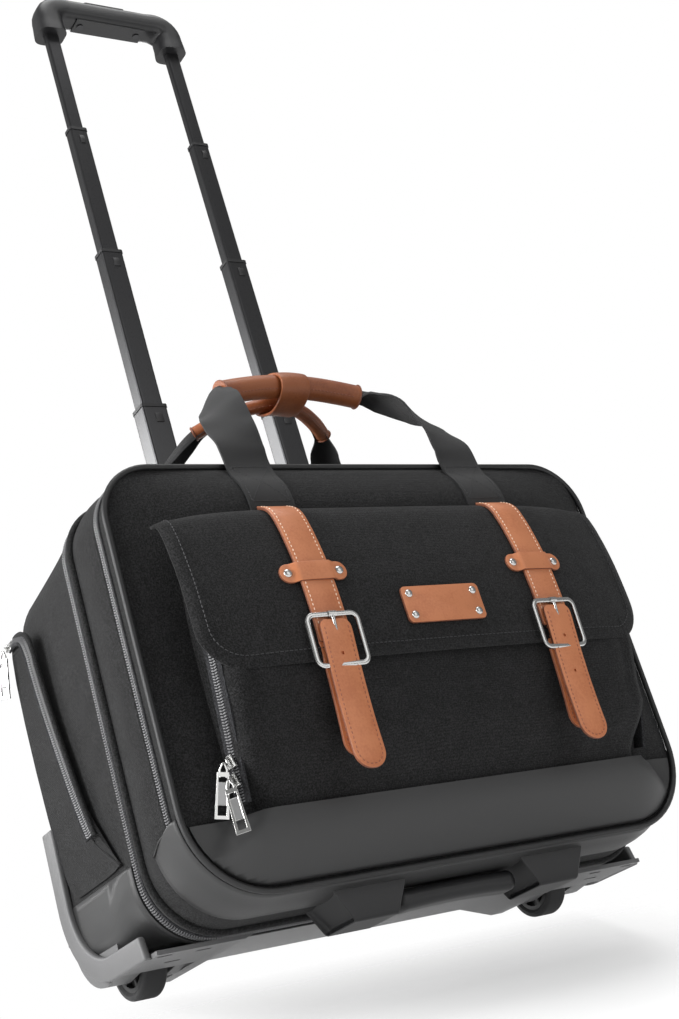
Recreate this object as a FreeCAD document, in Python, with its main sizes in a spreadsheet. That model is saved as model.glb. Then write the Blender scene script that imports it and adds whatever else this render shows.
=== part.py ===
import FreeCAD, Part
import math
import os
import re

import Sketcher
from FreeCAD import Placement, Rotation, Vector

# Rolling laptop case, standing upright on its two wheels and two front feet.
# Millimetres. +Z is up, -Y is the front with the flap, +X is the right seen from the front.
# The origin is on the floor under the middle of the case's overall box.

DRIVING = {
    # soft body
    "bag_width": (440, "width of the case over its sides"),
    "bag_height": (308, "height of the soft body"),
    "bag_base": (26, "height of the underside above the floor"),
    "top_radius": (42, "rounding of the two upper corners"),
    "base_radius": (60, "rounding of the two lower corners"),
    "rear_radius": (12, "lower corners of the main compartment, behind its zipper"),
    "lid_thick": (10, "padded front lid"),
    "zip_band": (8, "width of each zipper band round the body"),
    "zip_wall": (3, "thickness of a zipper band"),
    "middle_depth": (49, "front compartment, front to back"),
    "rear_depth": (114, "main compartment, front to back"),
    "wall": (3.5, "padded wall of the compartments"),
    "piping_radius": (2.2, "piping cord sewn into the seams"),
    # front pocket and its flap
    "pocket_width": (366, "gusseted front pocket"),
    "pocket_base": (75, "height of the seam between band and pocket"),
    "pocket_drop": (46, "top of the front pocket below the top of the case"),
    "pocket_depth": (47, "how far the full pocket stands out of the lid"),
    "pocket_foot": (20, "how far it stands out at its lower seam"),
    "band_thick": (14, "coated band below the pocket"),
    "panel_thick": (1.5, "coated panels on the lower sides"),
    "flap_width": (394, "flap over the pocket"),
    "flap_drop": (31, "flap's sewn edge below the top of the case"),
    "flap_foot": (162, "height of the flap's lower edge"),
    "flap_thick": (3, "two layers of fabric with board between"),
    "flap_gap": (4, "room between the pocket and the flap"),
    # leather
    "strap_spacing": (200, "between the two buckled straps"),
    "strap_width": (27, "leather strap"),
    "strap_thick": (2.5, "doubled and stitched leather"),
    "strap_foot": (83, "height of the strap's rounded end"),
    "keeper_height": (226, "height of the riveted keeper"),
    "keeper_width": (54, "keeper across the strap"),
    "keeper_deep": (15, "keeper along the strap"),
    "buckle_height": (174, "height of the buckle's middle"),
    "buckle_width": (44, "buckle frame, outside"),
    "buckle_tall": (40, "buckle frame, outside"),
    "buckle_wire": (3.9, "thickness of the buckle's bars"),
    "plate_width": (70, "leather plate on the flap"),
    "plate_tall": (28, "leather plate on the flap"),
    "plate_height": (196, "height of the plate's middle"),
    "rivet_radius": (3.2, "rivet heads"),
    "snap_radius": (7, "magnet snap behind each strap"),
    "seat_gap": (0.3, "clearance between pieces that only lie together"),
    # side pockets
    "side_pocket_bulge": (11, "how far a side pocket stands out"),
    "side_pocket_front": (34, "front edge, behind the main zipper"),
    "side_pocket_drop": (54, "top edge below the top of the case"),
    "side_pocket_base": (80, "lower edge"),
    # wheels and base
    "wheel_radius": (26, "wheel over its tyre"),
    "wheel_width": (20, "tyre"),
    "wheel_side": (33, "middle of each wheel inside the side of the case"),
    "wheel_inset": (27, "axle ahead of the case's back"),
    "tyre_thick": (6, "rubber on the rim"),
    "tyre_bead": (2, "tyre's side past the rim"),
    "tyre_round": (3, "rounding of the tread's edges"),
    "hub_wall": (4, "hub round its axle"),
    "hub_rim": (3, "rim of the hub"),
    "hub_dish": (7, "hollow of the hub's sides"),
    "hub_end": (1, "hub's ends inside the tyre's sides"),
    "sleeve_wall": (2, "spacer sleeves on the axle"),
    "axle_radius": (3, "axle bolt"),
    "axle_play": (0.06, "running clearance of the hub on its axle"),
    "axle_seat": (0.02, "the axle in its housing"),
    "housing_width": (56, "wheel housing across"),
    "housing_long": (65, "wheel housing front to back"),
    "housing_top": (60, "height of the housing's roof"),
    "housing_low": (12, "height of the housing's lower edge"),
    "housing_wall": (3, "moulded wall"),
    "bumper_wall": (4, "bumper behind the back"),
    "bumper_side": (5, "bumper outside the sides"),
    "bumper_top": (133, "height of the bumper's upper end"),
    "bumper_front": (116, "length of its lower arm"),
    "bumper_arm": (16, "height of its arms"),
    "bumper_radius": (64, "sweep of its lower corner"),
    "tray_thick": (5, "moulded base tray"),
    "foot_spacing": (164, "between the front feet"),
    "foot_top": (67, "foot across its top"),
    "foot_sole": (38, "foot across its sole"),
    "foot_long": (44, "foot front to back"),
    "foot_round": (4, "rounding of the sole's edges"),
    "foot_inset": (12, "foot behind the front of the lid"),
    "bar_radius": (7, "grab bar between the feet"),
    "bar_height": (9, "height of the grab bar's middle"),
    # trolley
    "trolley_inset": (32, "tube plane ahead of the case's back"),
    "tube_spacing": (128, "between the two tubes"),
    "inner_wide": (13.5, "thinnest tube, across"),
    "inner_deep": (8, "thinnest tube, front to back"),
    "stage_step": (1.75, "growth of each stage on each side"),
    "tube_wall": (1.25, "tube wall"),
    "tube_end": (45, "length that stays inside the next tube"),
    "reach_one": (110, "travel of the grip stage"),
    "reach_two": (135, "travel of the second stage"),
    "reach_three": (158, "travel of the third stage"),
    "reach_four": (136, "travel of the widest stage"),
    "collar_tall": (3, "collar on top of each stage"),
    "collar_lip": (0.6, "how far a collar stands out"),
    "slide_play": (0.08, "a tube in the collar that guides it"),
    "bezel_tall": (6, "moulded plate round the tubes"),
    "grip_tall": (42, "grip, over all"),
    "grip_over": (14, "grip past the middle of each tube"),
    "grip_deep": (26, "grip front to back"),
    "grip_leg": (28, "legs of the grip, across"),
    "grip_bar": (24, "height of the grip's bar"),
    "grip_arch": (9, "inner corners of the grip"),
    "grip_round": (18, "shoulders of the grip"),
    "grip_seat": (2, "recess of the plate under the bar"),
    "grip_plate_inset": (14, "plate's ends from the legs"),
    "button_long": (44, "release button"),
    "button_wide": (12, "release button"),
    "button_travel": (4, "travel of the release button"),
    # carry handles
    "web_spacing": (198, "between the ends of a carry handle"),
    "web_width": (38, "webbing"),
    "web_thick": (2, "webbing"),
    "hand_length": (132, "leather hand grips"),
    "hand_radius": (10, "leather hand grips"),
    "hand_height": (428, "height of the hand grips"),
    "hand_front": (-18, "place of the front hand grip, front to back"),
    "hand_back": (6, "place of the back hand grip, front to back"),
    "wrap_long": (27, "wrap that joins the two grips"),
    "wrap_thick": (2.2, "leather of the wrap"),
    # zipper hardware
    "slider_long": (9, "slider along its zipper"),
    "slider_wide": (8, "slider across its zipper"),
    "slider_deep": (4, "slider off its zipper"),
    "pull_long": (34, "zipper pull"),
    "pull_wide": (9, "zipper pull"),
    "pull_thick": (1.6, "zipper pull"),
}

# Places worked out from the driving sizes.
PLACES = {
    "half_width": "bag_width / 2",
    "top_z": "bag_base + bag_height",
    "front_stack": "pocket_depth + flap_gap + flap_thick + strap_thick + 2 * seat_gap + buckle_wire",
    "body_depth": "lid_thick + 2 * zip_band + middle_depth + rear_depth",
    "lid_front": "(front_stack - body_depth - bumper_wall) / 2",
    "lid_back": "lid_front + lid_thick",
    "middle_front": "lid_back + zip_band",
    "middle_back": "middle_front + middle_depth",
    "rear_front": "middle_back + zip_band",
    "rear_back": "rear_front + rear_depth",
    "pocket_front": "lid_front - pocket_depth",
    "flap_back": "pocket_front - flap_gap",
    "flap_front": "flap_back - flap_thick",
    "strap_back": "flap_front - seat_gap",
    "strap_front": "strap_back - strap_thick",
    "buckle_back": "strap_front - seat_gap",
    "pocket_top": "top_z - pocket_drop",
    "flap_top": "top_z - flap_drop",
    "side_pocket_top": "top_z - side_pocket_drop",
    "wheel_x": "half_width - wheel_side",
    "wheel_y": "rear_back - wheel_inset",
    "trolley_y": "rear_back - trolley_inset",
    "tube_x": "tube_spacing / 2",
    "stage_four_top": "top_z + bezel_tall + reach_four",
    "stage_three_top": "stage_four_top + reach_three",
    "stage_two_top": "stage_three_top + reach_two",
    "grip_base": "stage_two_top + reach_one",
    "grip_top": "grip_base + grip_tall",
    "web_x": "web_spacing / 2",
    "strap_x": "strap_spacing / 2",
    "foot_front": "lid_front + foot_inset",
    "foot_middle": "foot_front + foot_long / 2",
}

doc = FreeCAD.newDocument("RollingLaptopCase")
sheet = doc.addObject("Spreadsheet::Sheet", "Sizes")
for row, (alias, (size, note)) in enumerate(DRIVING.items(), 1):
    sheet.set(f"A{row}", note)
    sheet.set(f"B{row}", str(size))
    sheet.setAlias(f"B{row}", alias)
doc.recompute()

NODES = []


def expand(text):
    """Turn a formula in plain words into one that reads the sheet's cells."""
    def word(match):
        name = match.group(0)
        if name in PLACES:
            return "(" + expand(PLACES[name]) + ")"
        return "Sizes." + name if name in DRIVING else name
    return re.sub(r"[a-z][a-z_]*", word, str(text))


def value(text):
    """The number that a formula gives now."""
    return float(sheet.evalExpression(expand(text)))


def times(side, text):
    """A formula on the right (+1) or mirrored to the left (-1)."""
    return text if side > 0 else f"-({text})"


def node(item, label):
    """Keep an object as a sub-part of the case, under its own name."""
    item.Label = label
    NODES.append(item)
    return item


def place(item, x="0", y="0", z="0"):
    for axis, text in zip("xyz", (x, y, z)):
        item.setExpression(f"Placement.Base.{axis}", expand(text))
    return item


def box(x, y, z):
    """A box between three pairs of formulas, each low then high."""
    item = doc.addObject("Part::Box", "Box")
    for size, (low, high) in zip(("Length", "Width", "Height"), (x, y, z)):
        item.setExpression(size, expand(f"({high}) - ({low})"))
    return place(item, x[0], y[0], z[0])


def span(side, near, far):
    """A pair of formulas, low then high, on one side of the middle."""
    return (near, far) if side > 0 else (f"-({far})", f"-({near})")


AXES = {
    "x": Rotation(Vector(0, 1, 0), 90),
    "y": Rotation(Vector(1, 0, 0), -90),
    "z": Rotation(),
}


def rod(radius, start, axis, length):
    """A cylinder from its start along +X, +Y or +Z."""
    item = doc.addObject("Part::Cylinder", "Rod")
    item.setExpression("Radius", expand(radius))
    item.setExpression("Height", expand(length))
    item.Placement = Placement(Vector(), AXES[axis])
    return place(item, *start)


def cut(base, *tools):
    tool = tools[0] if len(tools) == 1 else fuse(*tools)
    item = doc.addObject("Part::Cut", "Cut")
    item.Base = base
    item.Tool = tool
    return item


def fuse(*parts):
    item = doc.addObject("Part::MultiFuse", "Fuse")
    item.Shapes = list(parts)
    return item


def group(*parts):
    """Separate solids that share one node."""
    item = doc.addObject("Part::Compound", "Group")
    item.Links = list(parts)
    return item


def origin_plane(body, role):
    return next(f for f in body.Origin.OriginFeatures if f.Role == role)


def add_corner_marks(sketch, corners):
    """Construction points at the corners, held by the sheet's sizes."""
    marks = []
    for x, y, radius in corners:
        mark = sketch.addGeometry(Part.Point(Vector(value(x), value(y), 0)), True)
        for kind, text in (("DistanceX", x), ("DistanceY", y)):
            held = sketch.addConstraint(Sketcher.Constraint(kind, -1, 1, mark, 1, value(text)))
            sketch.setExpression(f"Constraints[{held}]", expand(text))
        marks.append(mark)
    return marks


def corner_ends(before, here, after, radius):
    """Where the round of a corner starts and ends, its middle, and whether it turns left."""
    back = (before - here).normalize()
    ahead = (after - here).normalize()
    half = back.getAngle(ahead) / 2
    start = here + back * (radius / math.tan(half))
    end = here + ahead * (radius / math.tan(half))
    inward = (back + ahead).normalize()
    middle = here + inward * (radius / math.sin(half) - radius)
    return start, middle, end, (here - before).cross(after - here).z > 0


def draw_loop(sketch, corners):
    """A closed outline of straight sides; a corner with a radius is rounded by a tangent arc."""
    marks = add_corner_marks(sketch, corners)
    points = [Vector(value(x), value(y), 0) for x, y, radius in corners]
    count = len(points)
    rounds = []
    for i, (x, y, radius) in enumerate(corners):
        ends = None
        if radius:
            ends = corner_ends(points[i - 1], points[i], points[(i + 1) % count], value(radius))
        rounds.append(ends)
    sides = []
    for i in range(count):
        after = (i + 1) % count
        start = rounds[i][2] if rounds[i] else points[i]
        end = rounds[after][0] if rounds[after] else points[after]
        sides.append(sketch.addGeometry(Part.LineSegment(start, end), False))
    for i, (x, y, radius) in enumerate(corners):
        into, out = sides[i - 1], sides[i]
        if not rounds[i]:
            sketch.addConstraint(Sketcher.Constraint("Coincident", into, 2, marks[i], 1))
            sketch.addConstraint(Sketcher.Constraint("Coincident", out, 1, marks[i], 1))
            continue
        start, middle, end, left = rounds[i]
        arc = sketch.addGeometry(Part.Arc(start, middle, end), False)
        first, last = (1, 2) if left else (2, 1)
        sketch.addConstraint(Sketcher.Constraint("PointOnObject", marks[i], 1, into))
        sketch.addConstraint(Sketcher.Constraint("PointOnObject", marks[i], 1, out))
        sketch.addConstraint(Sketcher.Constraint("Tangent", into, 2, arc, first))
        sketch.addConstraint(Sketcher.Constraint("Tangent", arc, last, out, 1))
        held = sketch.addConstraint(Sketcher.Constraint("Radius", arc, value(radius)))
        sketch.setExpression(f"Constraints[{held}]", expand(radius))


def sketch_on(body, role, offset, loops):
    """A sketch of closed loops on one of the body's own planes, moved along its normal."""
    sketch = body.newObject("Sketcher::SketchObject", "Outline")
    sketch.AttachmentSupport = (origin_plane(body, role), [""])
    sketch.MapMode = "FlatFace"
    sketch.setExpression("AttachmentOffset.Base.z", expand(offset))
    for loop in loops:
        draw_loop(sketch, loop)
    return sketch


def add_pad(body, role, offset, loops, length):
    """Pad an outline along its plane's normal: +Z on XY, -Y on XZ, +X on YZ."""
    sketch = sketch_on(body, role, offset, loops)
    pad = body.newObject("PartDesign::Pad", "Pad")
    pad.Profile = sketch
    pad.setExpression("Length", expand(length))
    body.Tip = pad
    return pad


def padded_body(role, offset, loops, length):
    body = doc.addObject("PartDesign::Body", "Body")
    add_pad(body, role, offset, loops, length)
    return body


def slab(x, z, radius, y):
    """A plate across the case: an XZ rectangle with equal corners, from y low to y high."""
    loop = rectangle(x, z, radius)
    return padded_body("XZ_Plane", f"-({y[1]})", [loop], f"({y[1]}) - ({y[0]})")


def rectangle(x, y, radius=None):
    """Corners of a rectangle, anticlockwise, with equal radii."""
    return [(x[0], y[0], radius), (x[1], y[0], radius), (x[1], y[1], radius), (x[0], y[1], radius)]


def case_outline(inset, lower="base_radius"):
    """The case seen from the front, inset by a formula, with its own lower corners."""
    left, right = f"-half_width + ({inset})", f"half_width - ({inset})"
    low, high = f"bag_base + ({inset})", f"top_z - ({inset})"
    return [
        (left, low, f"{lower} - ({inset})"),
        (right, low, f"{lower} - ({inset})"),
        (right, high, f"top_radius - ({inset})"),
        (left, high, f"top_radius - ({inset})"),
    ]


def ring_body(outer, inner, y, lower="base_radius"):
    """A closed band of the case's outline between two insets, from y low to y high."""
    loops = [case_outline(outer, lower), case_outline(inner, lower)]
    return padded_body("XZ_Plane", f"-({y[1]})", loops, f"({y[1]}) - ({y[0]})")


def side_body(loops, x):
    """An outline in the YZ plane, from x low to x high."""
    return padded_body("YZ_Plane", x[0], loops, f"({x[1]}) - ({x[0]})")


def flat_body(loops, z):
    """An outline in the XY plane, from z low to z high."""
    return padded_body("XY_Plane", z[0], loops, f"({z[1]}) - ({z[0]})")


# --- soft body -------------------------------------------------------------------------------

def front_lid():
    loop = case_outline("0")
    node(padded_body("XZ_Plane", "-(lid_back)", [loop], "lid_thick"), "front_lid")


def zipper_bands():
    for label, low, high in (
        ("zipper_front", "lid_back", "middle_front"),
        ("zipper_main", "middle_back", "rear_front"),
    ):
        node(ring_body("piping_radius / 2", "piping_radius / 2 + zip_wall", (low, high)), label)


def middle_compartment():
    body = ring_body("0", "wall", ("middle_front", "middle_back"))
    add_pad(body, "XZ_Plane", "-(middle_back)", [case_outline("wall / 2")], "wall")
    node(body, "middle_compartment")


def tube_holes(grow, z):
    """Two upright slots round the widest tubes, larger by a formula on each side."""
    wide = f"inner_wide / 2 + 4 * stage_step + {grow}"
    deep = f"inner_deep / 2 + 4 * stage_step + {grow}"
    y = (f"trolley_y - ({deep})", f"trolley_y + {deep}")
    return [box(span(side, f"tube_x - ({wide})", f"tube_x + {wide}"), y, z) for side in (-1, 1)]


def housing_room(side, grow):
    """The space that a wheel housing takes, larger by a formula on each side."""
    x = span(side, f"half_width - housing_width - {grow}", "half_width + bumper_side")
    y = (f"rear_back - housing_long - {grow}", "rear_back + bumper_wall + 1")
    return box(x, y, ("-1", f"housing_top + {grow}"))


def rear_compartment():
    body = ring_body("0", "wall", ("rear_front", "rear_back"), "rear_radius")
    add_pad(body, "XZ_Plane", "-(rear_back)", [case_outline("wall / 2", "rear_radius")], "wall")
    holes = tube_holes("seat_gap", ("top_z - 2 * wall", "top_z + 1"))
    rooms = [housing_room(side, "seat_gap") for side in (-1, 1)]
    node(cut(body, *holes, *rooms), "rear_compartment")


def front_pocket():
    loop = [
        ("lid_front", "pocket_base", None),
        ("lid_front", "pocket_top", None),
        ("pocket_front + pocket_depth / 3", "pocket_top", "pocket_depth / 4"),
        ("pocket_front", "flap_foot + buckle_tall", "pocket_depth"),
        ("pocket_front", "flap_foot", "pocket_depth"),
        ("lid_front - pocket_foot", "pocket_base", None),
    ]
    loop.reverse()
    node(side_body([loop], ("-pocket_width / 2", "pocket_width / 2")), "front_pocket")


def front_band():
    body = padded_body("XZ_Plane", "-(lid_front)", [case_outline("2 * piping_radius")], "band_thick")
    above = box(("-half_width", "half_width"), ("lid_front - 2 * band_thick", "lid_front + 1"),
                ("pocket_base", "top_z + 1"))
    node(cut(body, above), "front_band")


def side_panels():
    """Coated panels on the lower sides, between the main zipper and the bumper."""
    x = ("half_width", "half_width + panel_thick")
    low, back = "housing_low + bumper_arm", "rear_back + bumper_wall - bumper_arm"
    loop = [
        ("rear_front", low, None),
        (back, low, "pocket_base - housing_low - bumper_arm - 1"),
        (back, "pocket_base", None),
        ("rear_front", "pocket_base", None),
    ]
    pair = [cut(side_body([loop], span(side, *x)), bumper_copy(side)) for side in (-1, 1)]
    node(group(*pair), "side_panels")


def piping():
    """Cord sewn in the seam round the lid, and the rib between the two zippers."""
    front = ring_body("0", "2 * piping_radius", ("lid_front - 2 * piping_radius", "lid_front"))
    y = ("middle_back - 4 * piping_radius", "middle_back - 2 * piping_radius")
    rib = ring_body("-piping_radius", "0", y)
    node(group(front, rib), "piping")


def gusset_zippers():
    """Zippers down the two gussets of the front pocket."""
    x = ("pocket_width / 2", "pocket_width / 2 + zip_wall")
    loop = [
        ("lid_front - pocket_foot - zip_band", "pocket_base + zip_band", None),
        ("lid_front - pocket_foot + zip_band", "pocket_base + zip_band", None),
        ("pocket_front + 3 * zip_band", "flap_foot + buckle_tall", None),
        ("pocket_front + zip_band", "flap_foot + buckle_tall", None),
    ]
    pair = [side_body([loop], span(side, *x)) for side in (-1, 1)]
    node(group(*pair), "gusset_zippers")


def side_pockets():
    loop = [
        ("side_pocket_front + 2 * zip_band", "side_pocket_base + zip_band", "zip_band"),
        ("rear_back - zip_band", "side_pocket_base + 2 * zip_band", "zip_band"),
        ("rear_back - zip_band", "side_pocket_top", "zip_band"),
        ("side_pocket_front + 5 * zip_band", "side_pocket_top", "3 * zip_band"),
    ]
    x = ("half_width", "half_width + side_pocket_bulge")
    pair = [cut(side_body([loop], span(side, *x)), bumper_copy(side)) for side in (-1, 1)]
    node(group(*pair), "side_pockets")


# --- inside ----------------------------------------------------------------------------------

def back_board():
    """Stiff board against the back wall, standing on the compartment's floor."""
    x = ("-half_width + base_radius + wall", "half_width - base_radius - wall")
    z = ("bag_base + wall", "top_z - 3 * wall")
    y = ("rear_back - 2 * wall", "rear_back - wall")
    board = box(x, y, z)
    rooms = [housing_room(side, "2 * seat_gap") for side in (-1, 1)]
    node(cut(board, *rooms), "back_board")


def laptop_sleeve():
    """Padded divider that keeps a laptop against the front of the main compartment."""
    x = ("-half_width + base_radius", "half_width - base_radius")
    y = ("rear_front + 10 * wall", "rear_front + 12 * wall")
    node(box(x, y, ("bag_base + wall", "top_z - 6 * zip_band")), "laptop_sleeve")


# --- base ------------------------------------------------------------------------------------

def base_tray():
    x = ("-half_width + housing_width + seat_gap", "half_width - housing_width - seat_gap")
    tray = box(x, ("middle_back", "rear_back"), ("bag_base - tray_thick", "bag_base"))
    slots = []
    for side in (-1, 1):
        for i in range(3):
            near = f"half_width - housing_width - {10 + 12 * i}"
            y = ("rear_front + zip_band", "rear_front + 3 * zip_band")
            z = ("bag_base - tray_thick - 1", "bag_base - 1")
            slots.append(box(span(side, f"{near} - 5", near), y, z))
    node(cut(tray, *slots), "base_tray")


def bumper_profile():
    """Seen from the side: a foot along the base that sweeps up into the back corner."""
    back = "rear_back + bumper_wall"
    low = "housing_low"
    return [
        (f"{back} - bumper_front", low, None),
        (back, low, "bumper_radius"),
        (back, "bumper_top", None),
        (f"{back} - bumper_arm", "bumper_top", None),
        (f"{back} - bumper_arm", f"{low} + bumper_arm", "bumper_radius - bumper_arm"),
        (f"{back} - bumper_front", f"{low} + bumper_arm", None),
    ]


def bumper_copy(side):
    """The bumper's side arm as a tool, wide enough to trim what lies on the side."""
    return side_body([bumper_profile()], span(side, "half_width", "half_width + 2 * side_pocket_bulge"))


def wheel_housing(side, label):
    """Bumper, side arm and box for one wheel, moulded in one piece."""
    arm = side_body([bumper_profile()], span(side, "half_width", "half_width + bumper_side"))
    back = box(span(side, "half_width - housing_width", "half_width + bumper_side / 2"),
               ("rear_back", "rear_back + bumper_wall"), ("bumper_radius", "bumper_top"))
    shell = box(span(side, "half_width - housing_width", "half_width"),
                ("rear_back - housing_long", "rear_back + bumper_wall - 1"), ("housing_low", "housing_top"))
    hollow = box(span(side, "half_width - housing_width + housing_wall", "half_width - housing_wall"),
                 ("rear_back - housing_long + housing_wall", "rear_back + bumper_wall"),
                 ("housing_low - 1", "housing_top - housing_wall"))
    mouth = box(span(side, "half_width - housing_width + housing_wall", "half_width - housing_wall"),
                ("rear_back - housing_long - 1", "rear_back"),
                ("housing_low - 1", "bag_base - tray_thick / 2"))
    back_plate = box(span(side, "half_width - housing_width", "half_width"),
                     ("rear_back + bumper_wall - 2", "rear_back + bumper_wall"),
                     ("wheel_radius", "bumper_radius"))
    x = f"half_width - housing_width - 1"
    start = (x if side > 0 else "-half_width - bumper_side - 1", "wheel_y", "wheel_radius")
    hole = rod("axle_radius + axle_seat", start, "x", "housing_width + bumper_side + 2")
    node(cut(fuse(arm, back, shell, back_plate), hollow, mouth, hole), label)


def wheel(side, label):
    """Spoked hub and its tyre, turned about the axle."""
    rim = "wheel_radius - tyre_thick"
    half = "wheel_width / 2"
    hub_loop = [
        (f"-{half} + hub_end", "axle_radius + axle_play", None),
        (f"{half} - hub_end", "axle_radius + axle_play", None),
        (f"{half} - hub_end", "axle_radius + hub_wall", None),
        (f"{half} - hub_dish", "axle_radius + hub_wall", None),
        (f"{half} - hub_dish", f"{rim} - hub_rim", None),
        (f"{half} - tyre_bead", f"{rim} - hub_rim", None),
        (f"{half} - tyre_bead", rim, None),
        (f"-{half} + tyre_bead", rim, None),
        (f"-{half} + tyre_bead", f"{rim} - hub_rim", None),
        (f"-{half} + hub_dish", f"{rim} - hub_rim", None),
        (f"-{half} + hub_dish", "axle_radius + hub_wall", None),
        (f"-{half} + hub_end", "axle_radius + hub_wall", None),
    ]
    tyre_loop = [
        (f"-{half} + tyre_bead", rim, None),
        (f"{half} - tyre_bead", rim, None),
        (half, f"{rim} + tyre_bead", None),
        (half, "wheel_radius", "tyre_round"),
        (f"-{half}", "wheel_radius", "tyre_round"),
        (f"-{half}", f"{rim} + tyre_bead", None),
    ]
    for name, loop in (("hub", hub_loop), ("tyre", tyre_loop)):
        body = doc.addObject("PartDesign::Body", "Wheel")
        sketch = sketch_on(body, "XY_Plane", "0", [loop])
        turned = body.newObject("PartDesign::Revolution", "Turned")
        turned.Profile = sketch
        turned.ReferenceAxis = (sketch, ["H_Axis"])
        turned.Angle = 360
        body.Tip = turned
        place(body, times(side, "wheel_x"), "wheel_y", "wheel_radius")
        node(body, f"{name}_{label}")


def axles():
    """A bolt through each housing, with a head outside and spacer sleeves beside the hub."""
    parts = []
    for side in (-1, 1):
        inner, outer = "half_width - housing_width", "half_width"
        low, high = span(side, inner, outer)
        bolt = rod("axle_radius", (low, "wheel_y", "wheel_radius"), "x", "housing_width")
        hub_in = "wheel_x - wheel_width / 2 + hub_end - axle_play"
        hub_out = "wheel_x + wheel_width / 2 - hub_end + axle_play"
        gap_in = span(side, f"{inner} + housing_wall + axle_seat", hub_in)
        gap_out = span(side, hub_out, f"{outer} - housing_wall - axle_seat")
        sleeves = [rod("axle_radius + sleeve_wall", (lo, "wheel_y", "wheel_radius"), "x", f"({hi}) - ({lo})")
                   for lo, hi in (gap_in, gap_out)]
        parts.append(fuse(bolt, *sleeves))
    node(group(*parts), "axles")


def foot_body(side):
    """A wedge under the front: wide where it joins the case, narrow at its sole."""
    middle = times(side, "foot_spacing / 2")
    loop = [
        (f"{middle} - foot_sole / 2", "0", "foot_round"),
        (f"{middle} + foot_sole / 2", "0", "foot_round"),
        (f"{middle} + foot_top / 2", "bag_base", None),
        (f"{middle} - foot_top / 2", "bag_base", None),
    ]
    return padded_body("XZ_Plane", "-(foot_front + foot_long)", [loop], "foot_long")


def grab_bar():
    """Bar between the feet, to lift the case by its foot; its ends meet their slopes."""
    reach = "(foot_spacing - foot_sole) / 2 - bar_height / 2"
    bar = rod("bar_radius", (f"-({reach})", "foot_middle", "bar_height"), "x", f"2 * ({reach})")
    node(cut(bar, foot_body(-1), foot_body(1)), "grab_bar")


# --- trolley ---------------------------------------------------------------------------------

def tube_pair(stage, low, high):
    """Two rectangular tubes of one stage: stage 0 is the thinnest."""
    tubes = []
    for side in (-1, 1):
        x = times(side, "tube_x")
        outer = stage_section(x, stage, "0")
        inner = stage_section(x, stage, "-tube_wall")
        tubes.append(flat_body([outer, inner], (low, high)))
    return group(*tubes)


def stage_section(x, stage, grow):
    """The outline of a stage's tube about x, larger by a formula on each side."""
    wide = f"(inner_wide / 2 + {stage} * stage_step + {grow})"
    deep = f"(inner_deep / 2 + {stage} * stage_step + {grow})"
    return rectangle((f"{x} - {wide}", f"{x} + {wide}"), (f"trolley_y - {deep}", f"trolley_y + {deep}"),
                     f"2.2 + {grow}")


def collar_pair(stage, top):
    """Collars on top of a stage, which guide the next thinner tube."""
    collars = []
    for side in (-1, 1):
        x = times(side, "tube_x")
        outer = stage_section(x, stage, "collar_lip")
        inner = stage_section(x, stage - 1, "slide_play")
        collars.append(flat_body([outer, inner], (f"{top} - collar_tall", top)))
    return group(*collars)


def trolley():
    tops = ("grip_base", "stage_two_top", "stage_three_top", "stage_four_top")
    names = ("one", "two", "three", "four")
    for stage in (1, 2, 3):
        low = f"{tops[stage]} - reach_{names[stage]} - tube_end"
        node(tube_pair(stage, low, f"{tops[stage]} - collar_tall"), f"stage_{names[stage]}_tubes")
        node(collar_pair(stage, tops[stage]), f"stage_{names[stage]}_collars")
    node(tube_pair(0, "stage_two_top - tube_end", "grip_base + grip_tall / 3"), "stage_one_tubes")
    node(tube_pair(4, "bag_base + wall", "top_z"), "trolley_outer_tubes")


def trolley_bezel():
    """Moulded plate on top of the case that the trolley rises out of."""
    wide = "tube_x + inner_wide / 2 + 8 * stage_step + 2 * collar_lip"
    deep = "inner_deep / 2 + 8 * stage_step"
    loop = rectangle((f"-({wide})", wide), (f"trolley_y - ({deep})", f"trolley_y + {deep}"), "6")
    holes = [stage_section(times(side, "tube_x"), 3, "slide_play") for side in (-1, 1)]
    node(flat_body([loop, *holes], ("top_z", "top_z + bezel_tall")), "trolley_bezel")


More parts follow.
